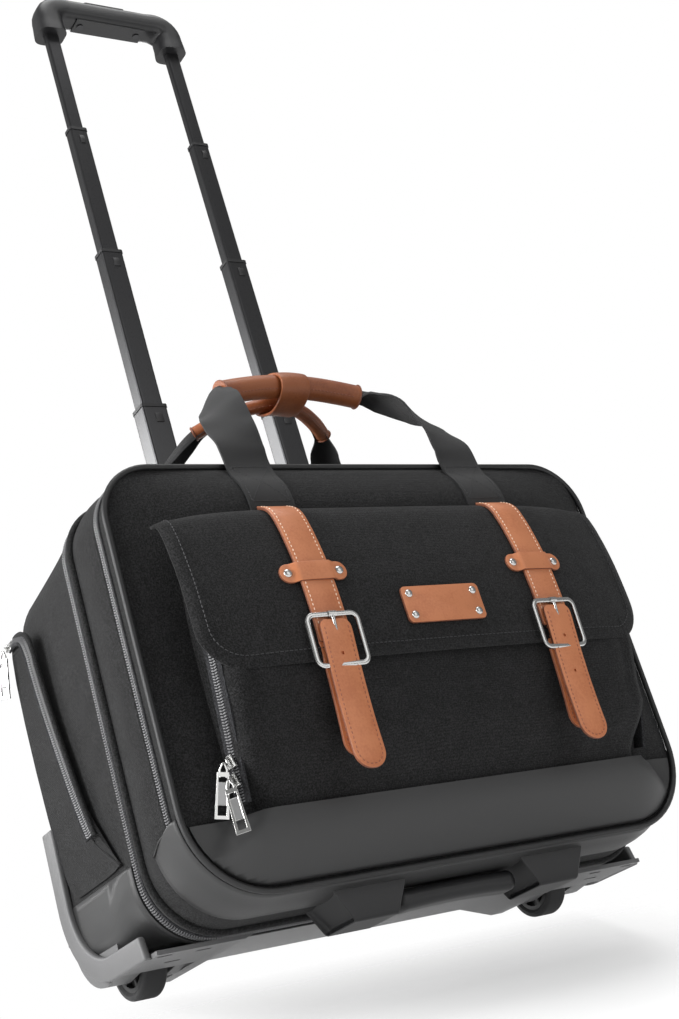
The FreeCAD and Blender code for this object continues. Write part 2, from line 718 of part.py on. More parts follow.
def grip():
    """Arched grip: a bar with two legs that take the thinnest tubes."""
    wide = "tube_x + grip_over"
    loop = [
        (f"-({wide})", "grip_base", None),
        (f"-({wide}) + grip_leg", "grip_base", None),
        (f"-({wide}) + grip_leg", "grip_top - grip_bar", "grip_arch"),
        (f"{wide} - grip_leg", "grip_top - grip_bar", "grip_arch"),
        (f"{wide} - grip_leg", "grip_base", None),
        (wide, "grip_base", None),
        (wide, "grip_top", "grip_round"),
        (f"-({wide})", "grip_top", "grip_round"),
    ]
    body = padded_body("XZ_Plane", "-(trolley_y + grip_deep / 2)", [loop], "grip_deep")
    wells = []
    for side in (-1, 1):
        section = stage_section(times(side, "tube_x"), 0, "0")
        wells.append(flat_body([section], ("grip_base - 1", "grip_base + grip_tall / 3")))
    slot = box(("-button_long / 2 - seat_gap", "button_long / 2 + seat_gap"),
               ("trolley_y - button_wide / 2 - seat_gap", "trolley_y + button_wide / 2 + seat_gap"),
               ("grip_top - 2 * button_travel - 1", "grip_top + 1"))
    reach = f"({wide} - grip_leg - grip_plate_inset)"
    seat = box((f"-{reach}", reach), ("trolley_y - grip_deep / 3", "trolley_y + grip_deep / 3"),
               ("grip_top - grip_bar - 1", "grip_top - grip_bar + grip_seat"))
    node(cut(body, *wells, slot, seat), "grip_shell")
    y = ("trolley_y - grip_deep / 3", "trolley_y + grip_deep / 3")
    plate = flat_body([rectangle((f"-{reach}", reach), y)],
                      ("grip_top - grip_bar + grip_seat / 4", "grip_top - grip_bar + grip_seat"))
    node(plate, "grip_underside")
    heads = []
    for side in (-1, 1):
        start = (times(side, f"{reach} - 6"), "trolley_y", "grip_top - grip_bar - grip_seat / 4")
        heads.append(rod("rivet_radius", start, "z", "grip_seat / 2"))
    node(group(*heads), "grip_screws")


def release_button():
    x = ("-button_long / 2", "button_long / 2")
    y = ("trolley_y - button_wide / 2", "trolley_y + button_wide / 2")
    low = "grip_top - button_travel - 0.6"
    node(flat_body([rectangle(x, y, "3")], (low, "grip_top + button_travel - 0.5")), "release_button")


# --- flap and leather ------------------------------------------------------------------------

def flap_loop(back, thick, foot, head):
    """A sheet seen from the side that comes over the pocket and hangs down to its foot."""
    front = f"{back} - {thick}"
    shoulder = "pocket_depth / 3"
    return [
        (front, foot, None),
        (back, foot, None),
        (back, "flap_foot + buckle_tall + 15", "pocket_depth + flap_gap"),
        (f"{back} + {shoulder}", "flap_top - 8", "4"),
        (head, "flap_top - 5", None),
        (head, f"flap_top - 5 + {thick}", None),
        (f"{back} + {shoulder} - {thick} / 2", f"flap_top - 8 + {thick}", f"4 + {thick}"),
        (front, "flap_foot + buckle_tall + 15", f"pocket_depth + flap_gap + {thick}"),
    ]


def flap():
    loop = flap_loop("flap_back", "flap_thick", "flap_foot", "lid_front - web_thick - 3 * seat_gap")
    node(side_body([loop], ("-flap_width / 2", "flap_width / 2")), "flap")


def straps():
    loop = flap_loop("strap_back", "strap_thick", "strap_foot", "pocket_front + 10")
    for side, label in ((-1, "strap_left"), (1, "strap_right")):
        x = span(side, "strap_x - strap_width / 2", "strap_x + strap_width / 2")
        node(side_body([loop], x), label)


def keepers():
    """Leather bands riveted over the straps."""
    pair = []
    for side in (-1, 1):
        y = ("strap_front - strap_thick - seat_gap", "flap_front - seat_gap")
        z = ("keeper_height - keeper_deep / 2", "keeper_height + keeper_deep / 2")
        outer = box(span(side, "strap_x - keeper_width / 2", "strap_x + keeper_width / 2"), y, z)
        x = span(side, "strap_x - strap_width / 2 - seat_gap", "strap_x + strap_width / 2 + seat_gap")
        inner = box(x, ("strap_front - seat_gap", "flap_front"),
                    ("keeper_height - keeper_deep", "keeper_height + keeper_deep"))
        pair.append(cut(outer, inner))
    node(group(*pair), "keepers")


def label_plate():
    x = ("-plate_width / 2", "plate_width / 2")
    z = ("plate_height - plate_tall / 2", "plate_height + plate_tall / 2")
    node(slab(x, z, "4", ("flap_front - seat_gap - strap_thick", "flap_front - seat_gap")), "label_plate")


def rivets():
    """Domed rivets at the keepers' ends and the plate's corners."""
    heads = []
    for side in (-1, 1):
        for end in (-1, 1):
            x = times(side, f"strap_x + {end} * (keeper_width / 2 - 6)")
            y = "strap_front - strap_thick - seat_gap - 1.2"
            heads.append(rod("rivet_radius", (x, y, "keeper_height"), "y", "1.2"))
            x = times(side, "plate_width / 2 - 6")
            z = f"plate_height + {end} * (plate_tall / 2 - 6)"
            y = "flap_front - seat_gap - strap_thick - 1.2"
            heads.append(rod("rivet_radius", (x, y, z), "y", "1.2"))
    node(group(*heads), "rivets")


def buckles():
    """Frames of square bar with a prong across the opening."""
    pair = []
    for side in (-1, 1):
        centre = times(side, "strap_x")
        loops = []
        for bar, corner in (("0", "6"), ("buckle_wire", "3")):
            wide = f"(buckle_width / 2 - {bar})"
            tall = f"(buckle_tall / 2 - {bar})"
            loops.append(rectangle((f"{centre} - {wide}", f"{centre} + {wide}"),
                                   (f"buckle_height - {tall}", f"buckle_height + {tall}"), corner))
        frame = padded_body("XZ_Plane", "-(buckle_back)", loops, "buckle_wire - 0.1")
        start = (centre, "buckle_back - 1.5", "buckle_height")
        prong = rod("1.3", start, "z", "(buckle_tall - buckle_wire) / 2")
        pair.append(fuse(frame, prong))
    node(group(*pair), "buckles")


def snap_tabs():
    """Leather tabs sewn to the pocket behind the straps, each with a magnet snap."""
    pair = []
    for side in (-1, 1):
        x = span(side, "strap_x - strap_width / 2 + 1", "strap_x + strap_width / 2 - 1")
        tab = box(x, ("pocket_front - strap_thick", "pocket_front"),
                  ("strap_foot + 12", "flap_foot + buckle_tall / 2"))
        stud = rod("snap_radius", (times(side, "strap_x"), "strap_back + seat_gap", "strap_foot + 30"), "y",
                   "pocket_front - strap_thick - strap_back - seat_gap")
        pair.append(fuse(tab, stud))
    node(group(*pair), "snap_tabs")


# --- carry handles ---------------------------------------------------------------------------

def ribbon(stations, wide, thick):
    """Webbing through stations (x, y, z): flat across X, joined straight from one to the next."""
    sections = []
    for i, (x, y, z) in enumerate(stations):
        before = stations[max(i - 1, 0)]
        after = stations[min(i + 1, len(stations) - 1)]
        along = Vector(0, after[1] - before[1], after[2] - before[2]).normalize()
        across = Vector(0, along.z, -along.y) * (thick / 2)
        side = Vector(wide / 2, 0, 0)
        here = Vector(x, y, z)
        corners = [here - side - across, here + side - across, here + side + across, here - side + across]
        sections.append(Part.makePolygon(corners + corners[:1]))
    return Part.makeLoft(sections, True, True)


def handle_webbing():
    """Four ends of webbing: two sewn to the lid's front, two to the top of the back."""
    legs = []
    wide, thick = value("web_width"), value("web_thick")
    lift = value("hand_height") - value("hand_radius") / 2
    grip_x = value("hand_length / 2 + seat_gap")
    for side in (-1, 1):
        x, top = side * value("web_x"), value("top_z")
        front = value("lid_front - web_thick / 2 - seat_gap")
        over = value("2 * piping_radius + web_thick / 2")
        back = value("rear_back - wall")
        legs.append(ribbon([
            (x, front, top - 38), (x, front, top - 14),
            (x, front - over, top - over), (x, front - over, top + over),
            (x, (front + value("hand_front")) / 2, (top + lift) / 2 + 8),
            (side * (grip_x + wide / 2), value("hand_front") - 2, lift - 4),
        ], wide, thick))
        legs.append(ribbon([
            (x, back, top + value("seat_gap")), (x, back - 4, top + 24),
            (x, (back + value("hand_back")) / 2, (top + lift) / 2 + 8),
            (side * (grip_x + wide / 2), value("hand_back") + 2, lift - 4),
        ], wide, thick))
    item = doc.addObject("Part::Feature", "Webbing")
    item.Shape = Part.makeCompound(legs)
    node(item, "handle_webbing")


def hand_grips():
    for label, y in (("front_grip", "hand_front"), ("rear_grip", "hand_back")):
        start = ("-hand_length / 2", y, "hand_height")
        node(rod("hand_radius", start, "x", "hand_length"), label)


def round_the_grips(extra):
    """The outline round both hand grips, larger by a formula."""
    reach = f"(hand_radius + seat_gap + {extra})"
    return rectangle((f"hand_front - {reach}", f"hand_back + {reach}"),
                     (f"hand_height - {reach}", f"hand_height + {reach}"), f"{reach} - 0.01")


def handle_wrap():
    """A leather band round both grips."""
    x = ("-wrap_long / 2", "wrap_long / 2")
    node(side_body([round_the_grips("wrap_thick"), round_the_grips("0")], x), "handle_wrap")


# --- zipper hardware -------------------------------------------------------------------------

def zipper_sliders():
    outer = "pocket_width / 2 + zip_wall"
    side_x = span(-1, outer, f"{outer} + slider_deep")
    track = "lid_front - pocket_foot"
    gusset = {"gusset_slider_upper": "pocket_base + 30", "gusset_slider_lower": "pocket_base + 17"}
    for label, low in gusset.items():
        y = (f"{track} - slider_wide / 2", f"{track} + slider_wide / 2")
        node(box(side_x, y, (low, f"{low} + slider_long")), label)
    for label, low, lean in (("gusset_pull_upper", "pocket_base + 30", "(-pull_wide / 3)"),
                             ("gusset_pull_lower", "pocket_base + 17",
                              "(2 * pull_wide / 3 + 2 * seat_gap)")):
        x = span(-1, f"{outer} + slider_deep + seat_gap", f"{outer} + slider_deep + seat_gap + pull_thick")
        y = (f"{track} - pull_wide / 2 - {lean}", f"{track} + pull_wide / 2 - {lean}")
        node(box(x, y, (f"{low} + slider_long / 2 - pull_long", f"{low} + slider_long / 2")), label)
    face = "half_width + side_pocket_bulge"
    for side, name in ((-1, "left"), (1, "right")):
        x = span(side, face, f"{face} + slider_deep")
        y = ("rear_back - 3 * zip_band", "rear_back - 3 * zip_band + slider_long")
        z = ("side_pocket_top - 2 * slider_wide", "side_pocket_top - slider_wide")
        body = box(x, y, z)
        hung = f"{face} + slider_deep + seat_gap"
        pull_x = span(side, hung, f"{hung} + pull_thick")
        pull_y = ("rear_back - 3 * zip_band", "rear_back - 3 * zip_band + pull_wide")
        pull_z = ("side_pocket_top - 1.5 * slider_wide - pull_long", "side_pocket_top - 1.5 * slider_wide")
        pull = box(pull_x, pull_y, pull_z)
        node(body, f"side_slider_{name}")
        node(pull, f"side_pull_{name}")
    edge = "half_width - piping_radius / 2"
    for label, band in (("front_slider", "lid_back"), ("main_slider", "middle_back")):
        x = (edge, f"{edge} + slider_deep")
        z = ("bag_base + base_radius + 2", "bag_base + base_radius + 2 + slider_long")
        node(box(x, (band, f"{band} + slider_wide"), z), label)


def build():
    front_lid()
    zipper_bands()
    middle_compartment()
    rear_compartment()
    front_pocket()
    front_band()
    side_panels()
    piping()
    gusset_zippers()
    side_pockets()
    back_board()
    laptop_sleeve()
    base_tray()
    for side, label in ((-1, "left"), (1, "right")):
        wheel_housing(side, f"wheel_housing_{label}")
        wheel(side, label)
        node(foot_body(side), f"foot_{label}")
    axles()
    grab_bar()
    trolley()
    trolley_bezel()
    grip()
    release_button()
    flap()
    straps()
    keepers()
    label_plate()
    rivets()
    buckles()
    snap_tabs()
    handle_webbing()
    hand_grips()
    handle_wrap()
    zipper_sliders()


def check():
    """Stop before anything is written if an object failed or a shape is not sound."""
    for item in doc.Objects:
        if "Invalid" in item.State or "Error" in item.State:
            raise RuntimeError(f"{item.Label} failed: {item.State}")
    for item in NODES:
        if item.Shape.isNull() or not item.Shape.isValid():
            raise RuntimeError(f"{item.Label} has no sound shape")


def export():
    os.makedirs("parts", exist_ok=True)
    for item in NODES:
        item.Shape.exportStep(f"parts/{item.Label}.step")
        print(f"{item.Label:24} {len(item.Shape.Solids)} solids {item.Shape.Volume / 1000:9.1f} cm3")


build()
doc.recompute()
check()
export()
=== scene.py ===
import math

import bmesh
import bpy
from mathutils import Matrix, Vector


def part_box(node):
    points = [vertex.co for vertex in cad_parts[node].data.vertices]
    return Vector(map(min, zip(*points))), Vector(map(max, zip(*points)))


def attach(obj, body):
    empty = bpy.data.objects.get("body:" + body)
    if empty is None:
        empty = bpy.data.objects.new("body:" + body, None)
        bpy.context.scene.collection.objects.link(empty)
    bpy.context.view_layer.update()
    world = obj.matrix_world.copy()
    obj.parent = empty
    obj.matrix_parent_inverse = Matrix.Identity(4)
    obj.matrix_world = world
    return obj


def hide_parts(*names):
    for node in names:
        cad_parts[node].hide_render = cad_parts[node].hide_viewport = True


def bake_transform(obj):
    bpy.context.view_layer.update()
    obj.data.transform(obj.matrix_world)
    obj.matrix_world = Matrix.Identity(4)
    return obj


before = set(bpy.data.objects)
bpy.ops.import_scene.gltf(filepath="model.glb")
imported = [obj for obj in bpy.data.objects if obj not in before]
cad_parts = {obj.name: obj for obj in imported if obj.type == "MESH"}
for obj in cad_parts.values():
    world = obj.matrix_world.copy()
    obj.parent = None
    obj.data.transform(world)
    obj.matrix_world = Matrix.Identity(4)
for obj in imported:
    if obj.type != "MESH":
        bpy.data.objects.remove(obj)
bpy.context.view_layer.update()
scene = bpy.context.scene
scene.view_settings.view_transform = "Standard"

# --- Camera ----------------------------------------------------------------------------------
# The case is seen from its front left corner, from below its own base plane: in use it leans
# back on its wheels by 28.5 degrees, so a level camera looks up at it and is rolled.

LEAN = math.radians(28.5)
BEARING, CLIMB, ROLL = (math.radians(a) for a in (37.96, 21.50, 17.04))
sight = Vector((math.sin(BEARING) * math.cos(CLIMB), math.cos(BEARING) * math.cos(CLIMB), math.sin(CLIMB)))
camera = bpy.data.objects.new("camera", bpy.data.cameras.new("camera"))
scene.collection.objects.link(camera)
camera.data.lens = 57.5
camera.data.clip_start = 0.05
camera.location = (-0.723, -0.9635, -0.1495)
camera.rotation_mode = "QUATERNION"
camera.rotation_quaternion = (Matrix.Rotation(ROLL, 3, sight)
                              @ sight.to_track_quat("-Z", "Y").to_matrix()).to_quaternion()
scene.camera = camera

# --- Studio: lamps, pale floor and white surround ----------------------------------------------
# Five round soft lamps: a large one at the left, weaker ones in front, above, behind and behind
# left. The surround is plain white to the camera and a soft grey to the object.


def lamp(name, place, aim, size, watts):
    data = bpy.data.lights.new(name, "AREA")
    data.shape, data.size, data.energy = "DISK", size, watts
    item = bpy.data.objects.new(name, data)
    scene.collection.objects.link(item)
    item.location = place
    item.rotation_mode = "QUATERNION"
    item.rotation_quaternion = (Vector(aim) - Vector(place)).to_track_quat("-Z", "Y")


MIDDLE = (0.0, 0.0, 0.35)
lamp("key_left", (-2.4, 0.1, 0.9), MIDDLE, 1.5, 84)
lamp("fill_front", (0.7, -2.6, 1.1), MIDDLE, 2.0, 13)
lamp("top_soft", (0.2, -0.5, 2.6), MIDDLE, 2.0, 34)
lamp("rim_back", (1.6, 2.0, 1.3), MIDDLE, 1.5, 26)
lamp("edge_left", (-1.5, 1.8, 1.2), MIDDLE, 0.9, 20)


def nodes_of(material):
    material.use_nodes = True
    return material.node_tree.nodes, material.node_tree.links


world = bpy.data.worlds.new("surround")
scene.world = world
w_nodes, w_links = nodes_of(world)
backdrop = w_nodes["Background"]
white = w_nodes.new("ShaderNodeBackground")
for shade, strength in ((white, 1.0), (backdrop, 0.30)):
    shade.inputs["Color"].default_value = (1, 1, 1, 1)
    shade.inputs["Strength"].default_value = strength
seen = w_nodes.new("ShaderNodeLightPath")
either = w_nodes.new("ShaderNodeMath")
either.operation = "MAXIMUM"
chosen = w_nodes.new("ShaderNodeMixShader")
w_links.new(seen.outputs["Is Camera Ray"], either.inputs[0])
w_links.new(seen.outputs["Is Transmission Ray"], either.inputs[1])
w_links.new(either.outputs[0], chosen.inputs[0])
w_links.new(backdrop.outputs[0], chosen.inputs[1])
w_links.new(white.outputs[0], chosen.inputs[2])
w_links.new(chosen.outputs[0], w_nodes["World Output"].inputs["Surface"])


def give(node, **values):
    """Set a node's inputs by name, with spaces written as underscores."""
    for key, value in values.items():
        node.inputs[key.replace("_", " ")].default_value = value


def floor_material(name, reach, contact, ahead):
    """Pale floor that only its upper side shows and that fades out towards its edges."""
    material = bpy.data.materials.new(name)
    tree, links = nodes_of(material)
    shader = tree["Principled BSDF"]
    give(shader, Base_Color=(0.80, 0.80, 0.80, 1), Roughness=0.9, Specular_IOR_Level=0.1)
    give(shader, Emission_Color=(1, 1, 1, 1), Emission_Strength=0.40)
    place = tree.new("ShaderNodeTexCoord")
    distance = tree.new("ShaderNodeVectorMath")
    distance.operation = "LENGTH"
    along = tree.new("ShaderNodeVectorMath")
    along.operation = "DOT_PRODUCT"
    along.inputs[1].default_value = ahead
    fade = tree.new("ShaderNodeMapRange")
    give(fade, From_Min=reach * 0.25, From_Max=reach * 0.9)
    edge = tree.new("ShaderNodeMapRange")
    give(edge, From_Min=contact.dot(ahead) + 0.11, From_Max=contact.dot(ahead) + 0.005)
    side = tree.new("ShaderNodeNewGeometry")
    clear = tree.new("ShaderNodeBsdfTransparent")
    mix = tree.new("ShaderNodeMixShader")
    links.new(place.outputs["Object"], distance.inputs[0])
    links.new(place.outputs["Object"], along.inputs[0])
    links.new(distance.outputs["Value"], fade.inputs["Value"])
    links.new(along.outputs["Value"], edge.inputs["Value"])
    hidden = fade.outputs[0]
    for more in (edge.outputs[0], side.outputs["Backfacing"]):
        most = tree.new("ShaderNodeMath")
        most.operation = "MAXIMUM"
        links.new(hidden, most.inputs[0])
        links.new(more, most.inputs[1])
        hidden = most.outputs[0]
    links.new(hidden, mix.inputs[0])
    links.new(shader.outputs[0], mix.inputs[1])
    links.new(clear.outputs[0], mix.inputs[2])
    links.new(mix.outputs[0], tree["Material Output"].inputs["Surface"])
    return material


def cut(bm, place, normal, **more):
    """Cut a mesh by a plane."""
    everything = bm.faces[:] + bm.edges[:] + bm.verts[:]
    bmesh.ops.bisect_plane(bm, geom=everything, plane_co=place, plane_no=normal, **more)


def floor(name, reach, lean, contact):
    bm = bmesh.new()
    bmesh.ops.create_grid(bm, x_segments=1, y_segments=1, size=reach)
    if lean:
        cut(bm, (0, 0, 0), (0, 1, 0), clear_outer=True)
    bmesh.ops.transform(bm, matrix=Matrix.Translation(contact) @ Matrix.Rotation(lean, 4, "X"), verts=bm.verts)
    mesh = bpy.data.meshes.new(name)
    bm.to_mesh(mesh)
    bm.free()
    item = bpy.data.objects.new(name, mesh)
    scene.collection.objects.link(item)
    turned = Matrix.Rotation(lean, 3, "X") @ Vector((0, -1, 0))
    mesh.materials.append(floor_material(name, reach, contact if lean else Vector((0, 9, 0)), turned))
    return item


wheel_low, wheel_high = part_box("tyre_left")
wheel_radius = (wheel_high.z - wheel_low.z) / 2
wheel_y = (wheel_low.y + wheel_high.y) / 2
touch = Vector((0, wheel_y + wheel_radius * math.sin(LEAN), wheel_radius * (1 - math.cos(LEAN))))
floor("floor_leaning", 3.0, LEAN, touch)
level = floor("floor_level", 3.0, 0.0, Vector((0, 0, -0.0005)))
level.visible_shadow = False
level.visible_diffuse = False

# --- Front lid, middle and main compartments: black woven polyester over foam -------------------
# The soft body is three padded trays of one outline, with small upper and large lower corners.
# Each tray is cut from heathered 600-denier cloth and bulges a little between its seams.

LID_LOW, LID_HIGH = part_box("front_lid")
MID_LOW, MID_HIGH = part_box("middle_compartment")
REAR_LOW, REAR_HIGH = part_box("rear_compartment")
HALF = LID_HIGH.x
BASE, TOP = LID_LOW.z, LID_HIGH.z
TOP_ROUND, BASE_ROUND = 0.042, 0.060
TROLLEY_X, TUBE_HOLE = 0.064, 0.0138


def new_piece(name, bm, body, material, replaced=(), smooth=35, outside=None):
    """Turn a bmesh into a finished object that rides a body and stands for CAD nodes."""
    bmesh.ops.recalc_face_normals(bm, faces=bm.faces)
    if outside and sum(f.normal.dot(Vector(outside)) * f.calc_area() for f in bm.faces) < 0:
        bmesh.ops.reverse_faces(bm, faces=bm.faces[:])
    mesh = bpy.data.meshes.new(name)
    bm.to_mesh(mesh)
    bm.free()
    mesh.materials.append(material)
    mesh.shade_smooth()
    item = bpy.data.objects.new(name, mesh)
    scene.collection.objects.link(item)
    if smooth < 180:
        mesh.set_sharp_from_angle(angle=math.radians(smooth))
    if body:
        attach(item, body)
    if replaced:
        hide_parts(*replaced)
    return item


def add_modifier(item, kind, **settings):
    modifier = item.modifiers.new(kind.title(), kind)
    for key, value in settings.items():
        setattr(modifier, key, value)
    return modifier


def subdivide(item, levels=1):
    add_modifier(item, "SUBSURF", levels=levels, render_levels=levels)


def basic(name, colour, rough, **sockets):
    """A Principled material; what is uniform is set on the shader itself."""
    material = bpy.data.materials.new(name)
    tree, links = nodes_of(material)
    shader = tree["Principled BSDF"]
    give(shader, Base_Color=(*colour, 1), Roughness=rough, **sockets)
    return material, tree, links, shader


def noise_of(tree, links, scale, detail=2.0):
    """Noise on Object coordinates."""
    place = tree.new("ShaderNodeTexCoord")
    texture = tree.new("ShaderNodeTexNoise")
    give(texture, Scale=scale, Detail=detail)
    links.new(place.outputs["Object"], texture.inputs["Vector"])
    return texture.outputs["Fac"]


def ramp(tree, links, value, stops):
    """Colours over a 0 to 1 value; stops are (position, (r, g, b))."""
    node = tree.new("ShaderNodeValToRGB")
    while len(node.color_ramp.elements) < len(stops):
        node.color_ramp.elements.new(0.5)
    for element, (position, colour) in zip(node.color_ramp.elements, stops):
        element.position = position
        element.color = (*colour, 1)
    links.new(value, node.inputs["Fac"])
    return node.outputs["Color"]


def bump(tree, links, shader, height, strength, distance):
    node = tree.new("ShaderNodeBump")
    give(node, Strength=strength, Distance=distance)
    links.new(height, node.inputs["Height"])
    links.new(node.outputs["Normal"], shader.inputs["Normal"])


def math_node(tree, links, operation, first, second=None):
    node = tree.new("ShaderNodeMath")
    node.operation = operation
    for socket, value in zip(node.inputs, (first, second)):
        if isinstance(value, (int, float)):
            socket.default_value = value
        elif value is not None:
            links.new(value, socket)
    return node.outputs[0]


def weighted(tree, links, first, share, second, rest=None):
    """first times share plus second, itself times rest where that is given."""
    scaled = math_node(tree, links, "MULTIPLY", first, share)
    if rest is not None:
        second = math_node(tree, links, "MULTIPLY", second, rest)
    return math_node(tree, links, "ADD", scaled, second)


def woven(name, dark, light, pitch, depth=0.0006):
    """Plain weave: threads both ways on all three faces, with heathered lighter yarns."""
    material, tree, links, shader = basic(name, dark, 0.82, Sheen_Weight=0.06, Sheen_Roughness=0.5,
                                          Specular_IOR_Level=0.2)
    place = tree.new("ShaderNodeTexCoord")
    split = tree.new("ShaderNodeSeparateXYZ")
    links.new(place.outputs["Object"], split.inputs[0])
    waves = []
    for axis in "XYZ":
        turned = math_node(tree, links, "MULTIPLY", split.outputs[axis], 2 * math.pi / pitch)
        waves.append(math_node(tree, links, "SINE", turned))
    crossed = math_node(tree, links, "MULTIPLY", waves[0], waves[2])
    other = math_node(tree, links, "MULTIPLY", waves[1], waves[2])
    third = math_node(tree, links, "MULTIPLY", waves[0], waves[1])
    weave = math_node(tree, links, "ADD", math_node(tree, links, "ADD", crossed, other), third)
    heather = noise_of(tree, links, 900, 3.0)
    broad = noise_of(tree, links, 60, 3.0)
    mixed = weighted(tree, links, heather, 0.87, broad, 0.13)
    links.new(ramp(tree, links, mixed, [(0.40, dark), (0.54, tuple((a + b) / 2 for a, b in zip(dark, light))),
                                       (0.66, light)]), shader.inputs["Base Color"])
    height = weighted(tree, links, weave, 0.35, heather)
    bump(tree, links, shader, height, 0.55, depth)
    return material


CANVAS = woven("black_canvas", (0.0026, 0.0026, 0.0027), (0.027, 0.027, 0.028), 0.0011)


def shift(bm, by):
    bmesh.ops.translate(bm, vec=by, verts=bm.verts)


def round_edges(bm, edges, radius, segments):
    bmesh.ops.bevel(bm, geom=edges, offset=radius, segments=segments, affect="EDGES", profile=0.5, material=-1)


def block(size, taper=1.0, round_by=0.0):
    """A small block, narrower at its top by taper, its edges rounded."""
    bm = bmesh.new()
    bmesh.ops.create_cube(bm, size=1.0)
    top = [v for v in bm.verts if v.co.z > 0]
    bmesh.ops.scale(bm, vec=(taper, taper, 1), verts=top)
    bmesh.ops.scale(bm, vec=size, verts=bm.verts)
    if round_by:
        round_edges(bm, bm.edges[:], round_by, 2)
    return bm


def case_block(low_y, high_y, inset, base_round, segments=10):
    """The case's outline as a block between two depths, its corners rounded by bevels."""
    bm = block((2 * (HALF - inset), high_y - low_y, TOP - BASE - 2 * inset))
    shift(bm, (0, (low_y + high_y) / 2, (TOP + BASE) / 2))
    for upper, radius in ((True, TOP_ROUND - inset), (False, base_round - inset)):
        corner = [e for e in bm.edges if abs(e.verts[0].co.y - e.verts[1].co.y) > 1e-4
                  and (e.verts[0].co.z > (TOP + BASE) / 2) == upper
                  and abs(abs(e.verts[0].co.x) - HALF + inset) < 1e-4]
        round_edges(bm, corner, radius, segments)
    return bm


def soften_rim(bm, side_y, radius, segments=4):
    """Round the edge between the outline's wall and one of its flat ends."""
    rim = [e for e in bm.edges if all(abs(v.co.y - side_y) < 1e-5 for v in e.verts)]
    round_edges(bm, rim, radius, segments)


def slice_up(bm, axis, low, high, count):
    """Cut a mesh by equally spaced planes, so that it can bend between them."""
    normal = Vector((axis == "x", axis == "y", axis == "z"))
    for i in range(1, count):
        place = normal * (low + (high - low) * i / count)
        cut(bm, place, normal)


def ease(t):
    t = min(max(t, 0), 1)
    return t * t * (3 - 2 * t)


def hump(value, low, high):
    """0 at both ends of a span and 1 in its middle."""
    t = min(max((value - low) / (high - low), 0), 1)
    return math.sin(math.pi * t)


def open_back(bm, y):
    """Take away the end that a seam hides."""
    bmesh.ops.delete(bm, geom=[f for f in bm.faces if all(abs(v.co.y - y) < 1e-5 for v in f.verts)],
                     context="FACES")


def lid_face(x, z):
    """Depth of the lid's padded face: domed above the flap, flat at its foot and rim."""
    edge = min(HALF - abs(x), TOP - z, z - BASE) / 0.05
    crown = 1 - (1 - min(max(edge, 0), 1)) ** 2.2
    full = 0.0065 - 0.0060 * ease((0.095 - z) / 0.03)
    rise = min(max((TOP - z) / 0.042, 0), 1)
    dome = 0.0175 * (1 - (1 - rise) ** 1.9) * ease((z - 0.19) / 0.07) * ease((HALF - 0.004 - abs(x)) / 0.10)
    return LID_LOW.y - full * crown - dome


def lid():
    bm = case_block(LID_LOW.y, LID_HIGH.y, 0.0012, BASE_ROUND)
    slice_up(bm, "x", -HALF, HALF, 32)
    slice_up(bm, "z", BASE, TOP, 30)
    for v in bm.verts:
        if v.co.y < LID_LOW.y + 0.001:
            v.co.y = lid_face(v.co.x, v.co.z)
    item = new_piece("front_lid_cover", bm, "case", CANVAS, ["front_lid"], 50)


def lower_corner(point, share, radius=0.048, base=0.015):
    """The seams behind the lid hang lower and turn tighter at their foot than the lid's own."""
    turn = BASE_ROUND + (radius - BASE_ROUND) * share
    foot = BASE + (base - BASE) * share
    knee = BASE + BASE_ROUND
    near = min(max((0.160 - point.z) / (0.160 - knee), 0), 1)
    side = HALF - BASE_ROUND
    reach = abs(point.x)
    if reach < side:
        reach *= 1 + ((HALF - turn) / side - 1) * near
    else:
        reach = HALF - (HALF - reach) * (1 + (turn / BASE_ROUND - 1) * near)
    point.x = math.copysign(reach, point.x)
    if point.z < knee:
        point.z = foot + (point.z - BASE) * turn / BASE_ROUND
    else:
        point.z -= (knee - foot - turn) * near


def share_at(y):
    """0 at the lid's zipper, 1 at the main zipper."""
    return min(max((y - LID_HIGH.y) / (REAR_LOW.y - LID_HIGH.y), 0), 1)


def middle():
    low, high = MID_LOW.y, MID_HIGH.y
    bm = case_block(low, high, 0.0, BASE_ROUND)
    slice_up(bm, "y", low, high, 14)
    open_back(bm, low)
    open_back(bm, high)
    rib = high - 0.0066
    for v in bm.verts:
        outward = (v.co - Vector((0, v.co.y, (TOP + BASE) / 2))).normalized()
        puff = 0.0024 * hump(v.co.y, low, rib - 0.004) + 0.0016 * hump(v.co.y, rib + 0.002, high)
        v.co += outward * (puff - 0.0012)
        lower_corner(v.co, share_at(v.co.y))
    item = new_piece("middle_gusset", bm, "case", CANVAS, ["middle_compartment"], 60)
    add_modifier(item, "SOLIDIFY", thickness=0.003, offset=-1)


def rear_corner(y):
    """Round and foot of the main compartment: they square up towards the wheels."""
    back = (y - REAR_LOW.y) / (REAR_HIGH.y - REAR_LOW.y)
    return 0.048 - 0.030 * ease(back / 0.45), 0.015 + 0.010 * ease(back / 0.22)


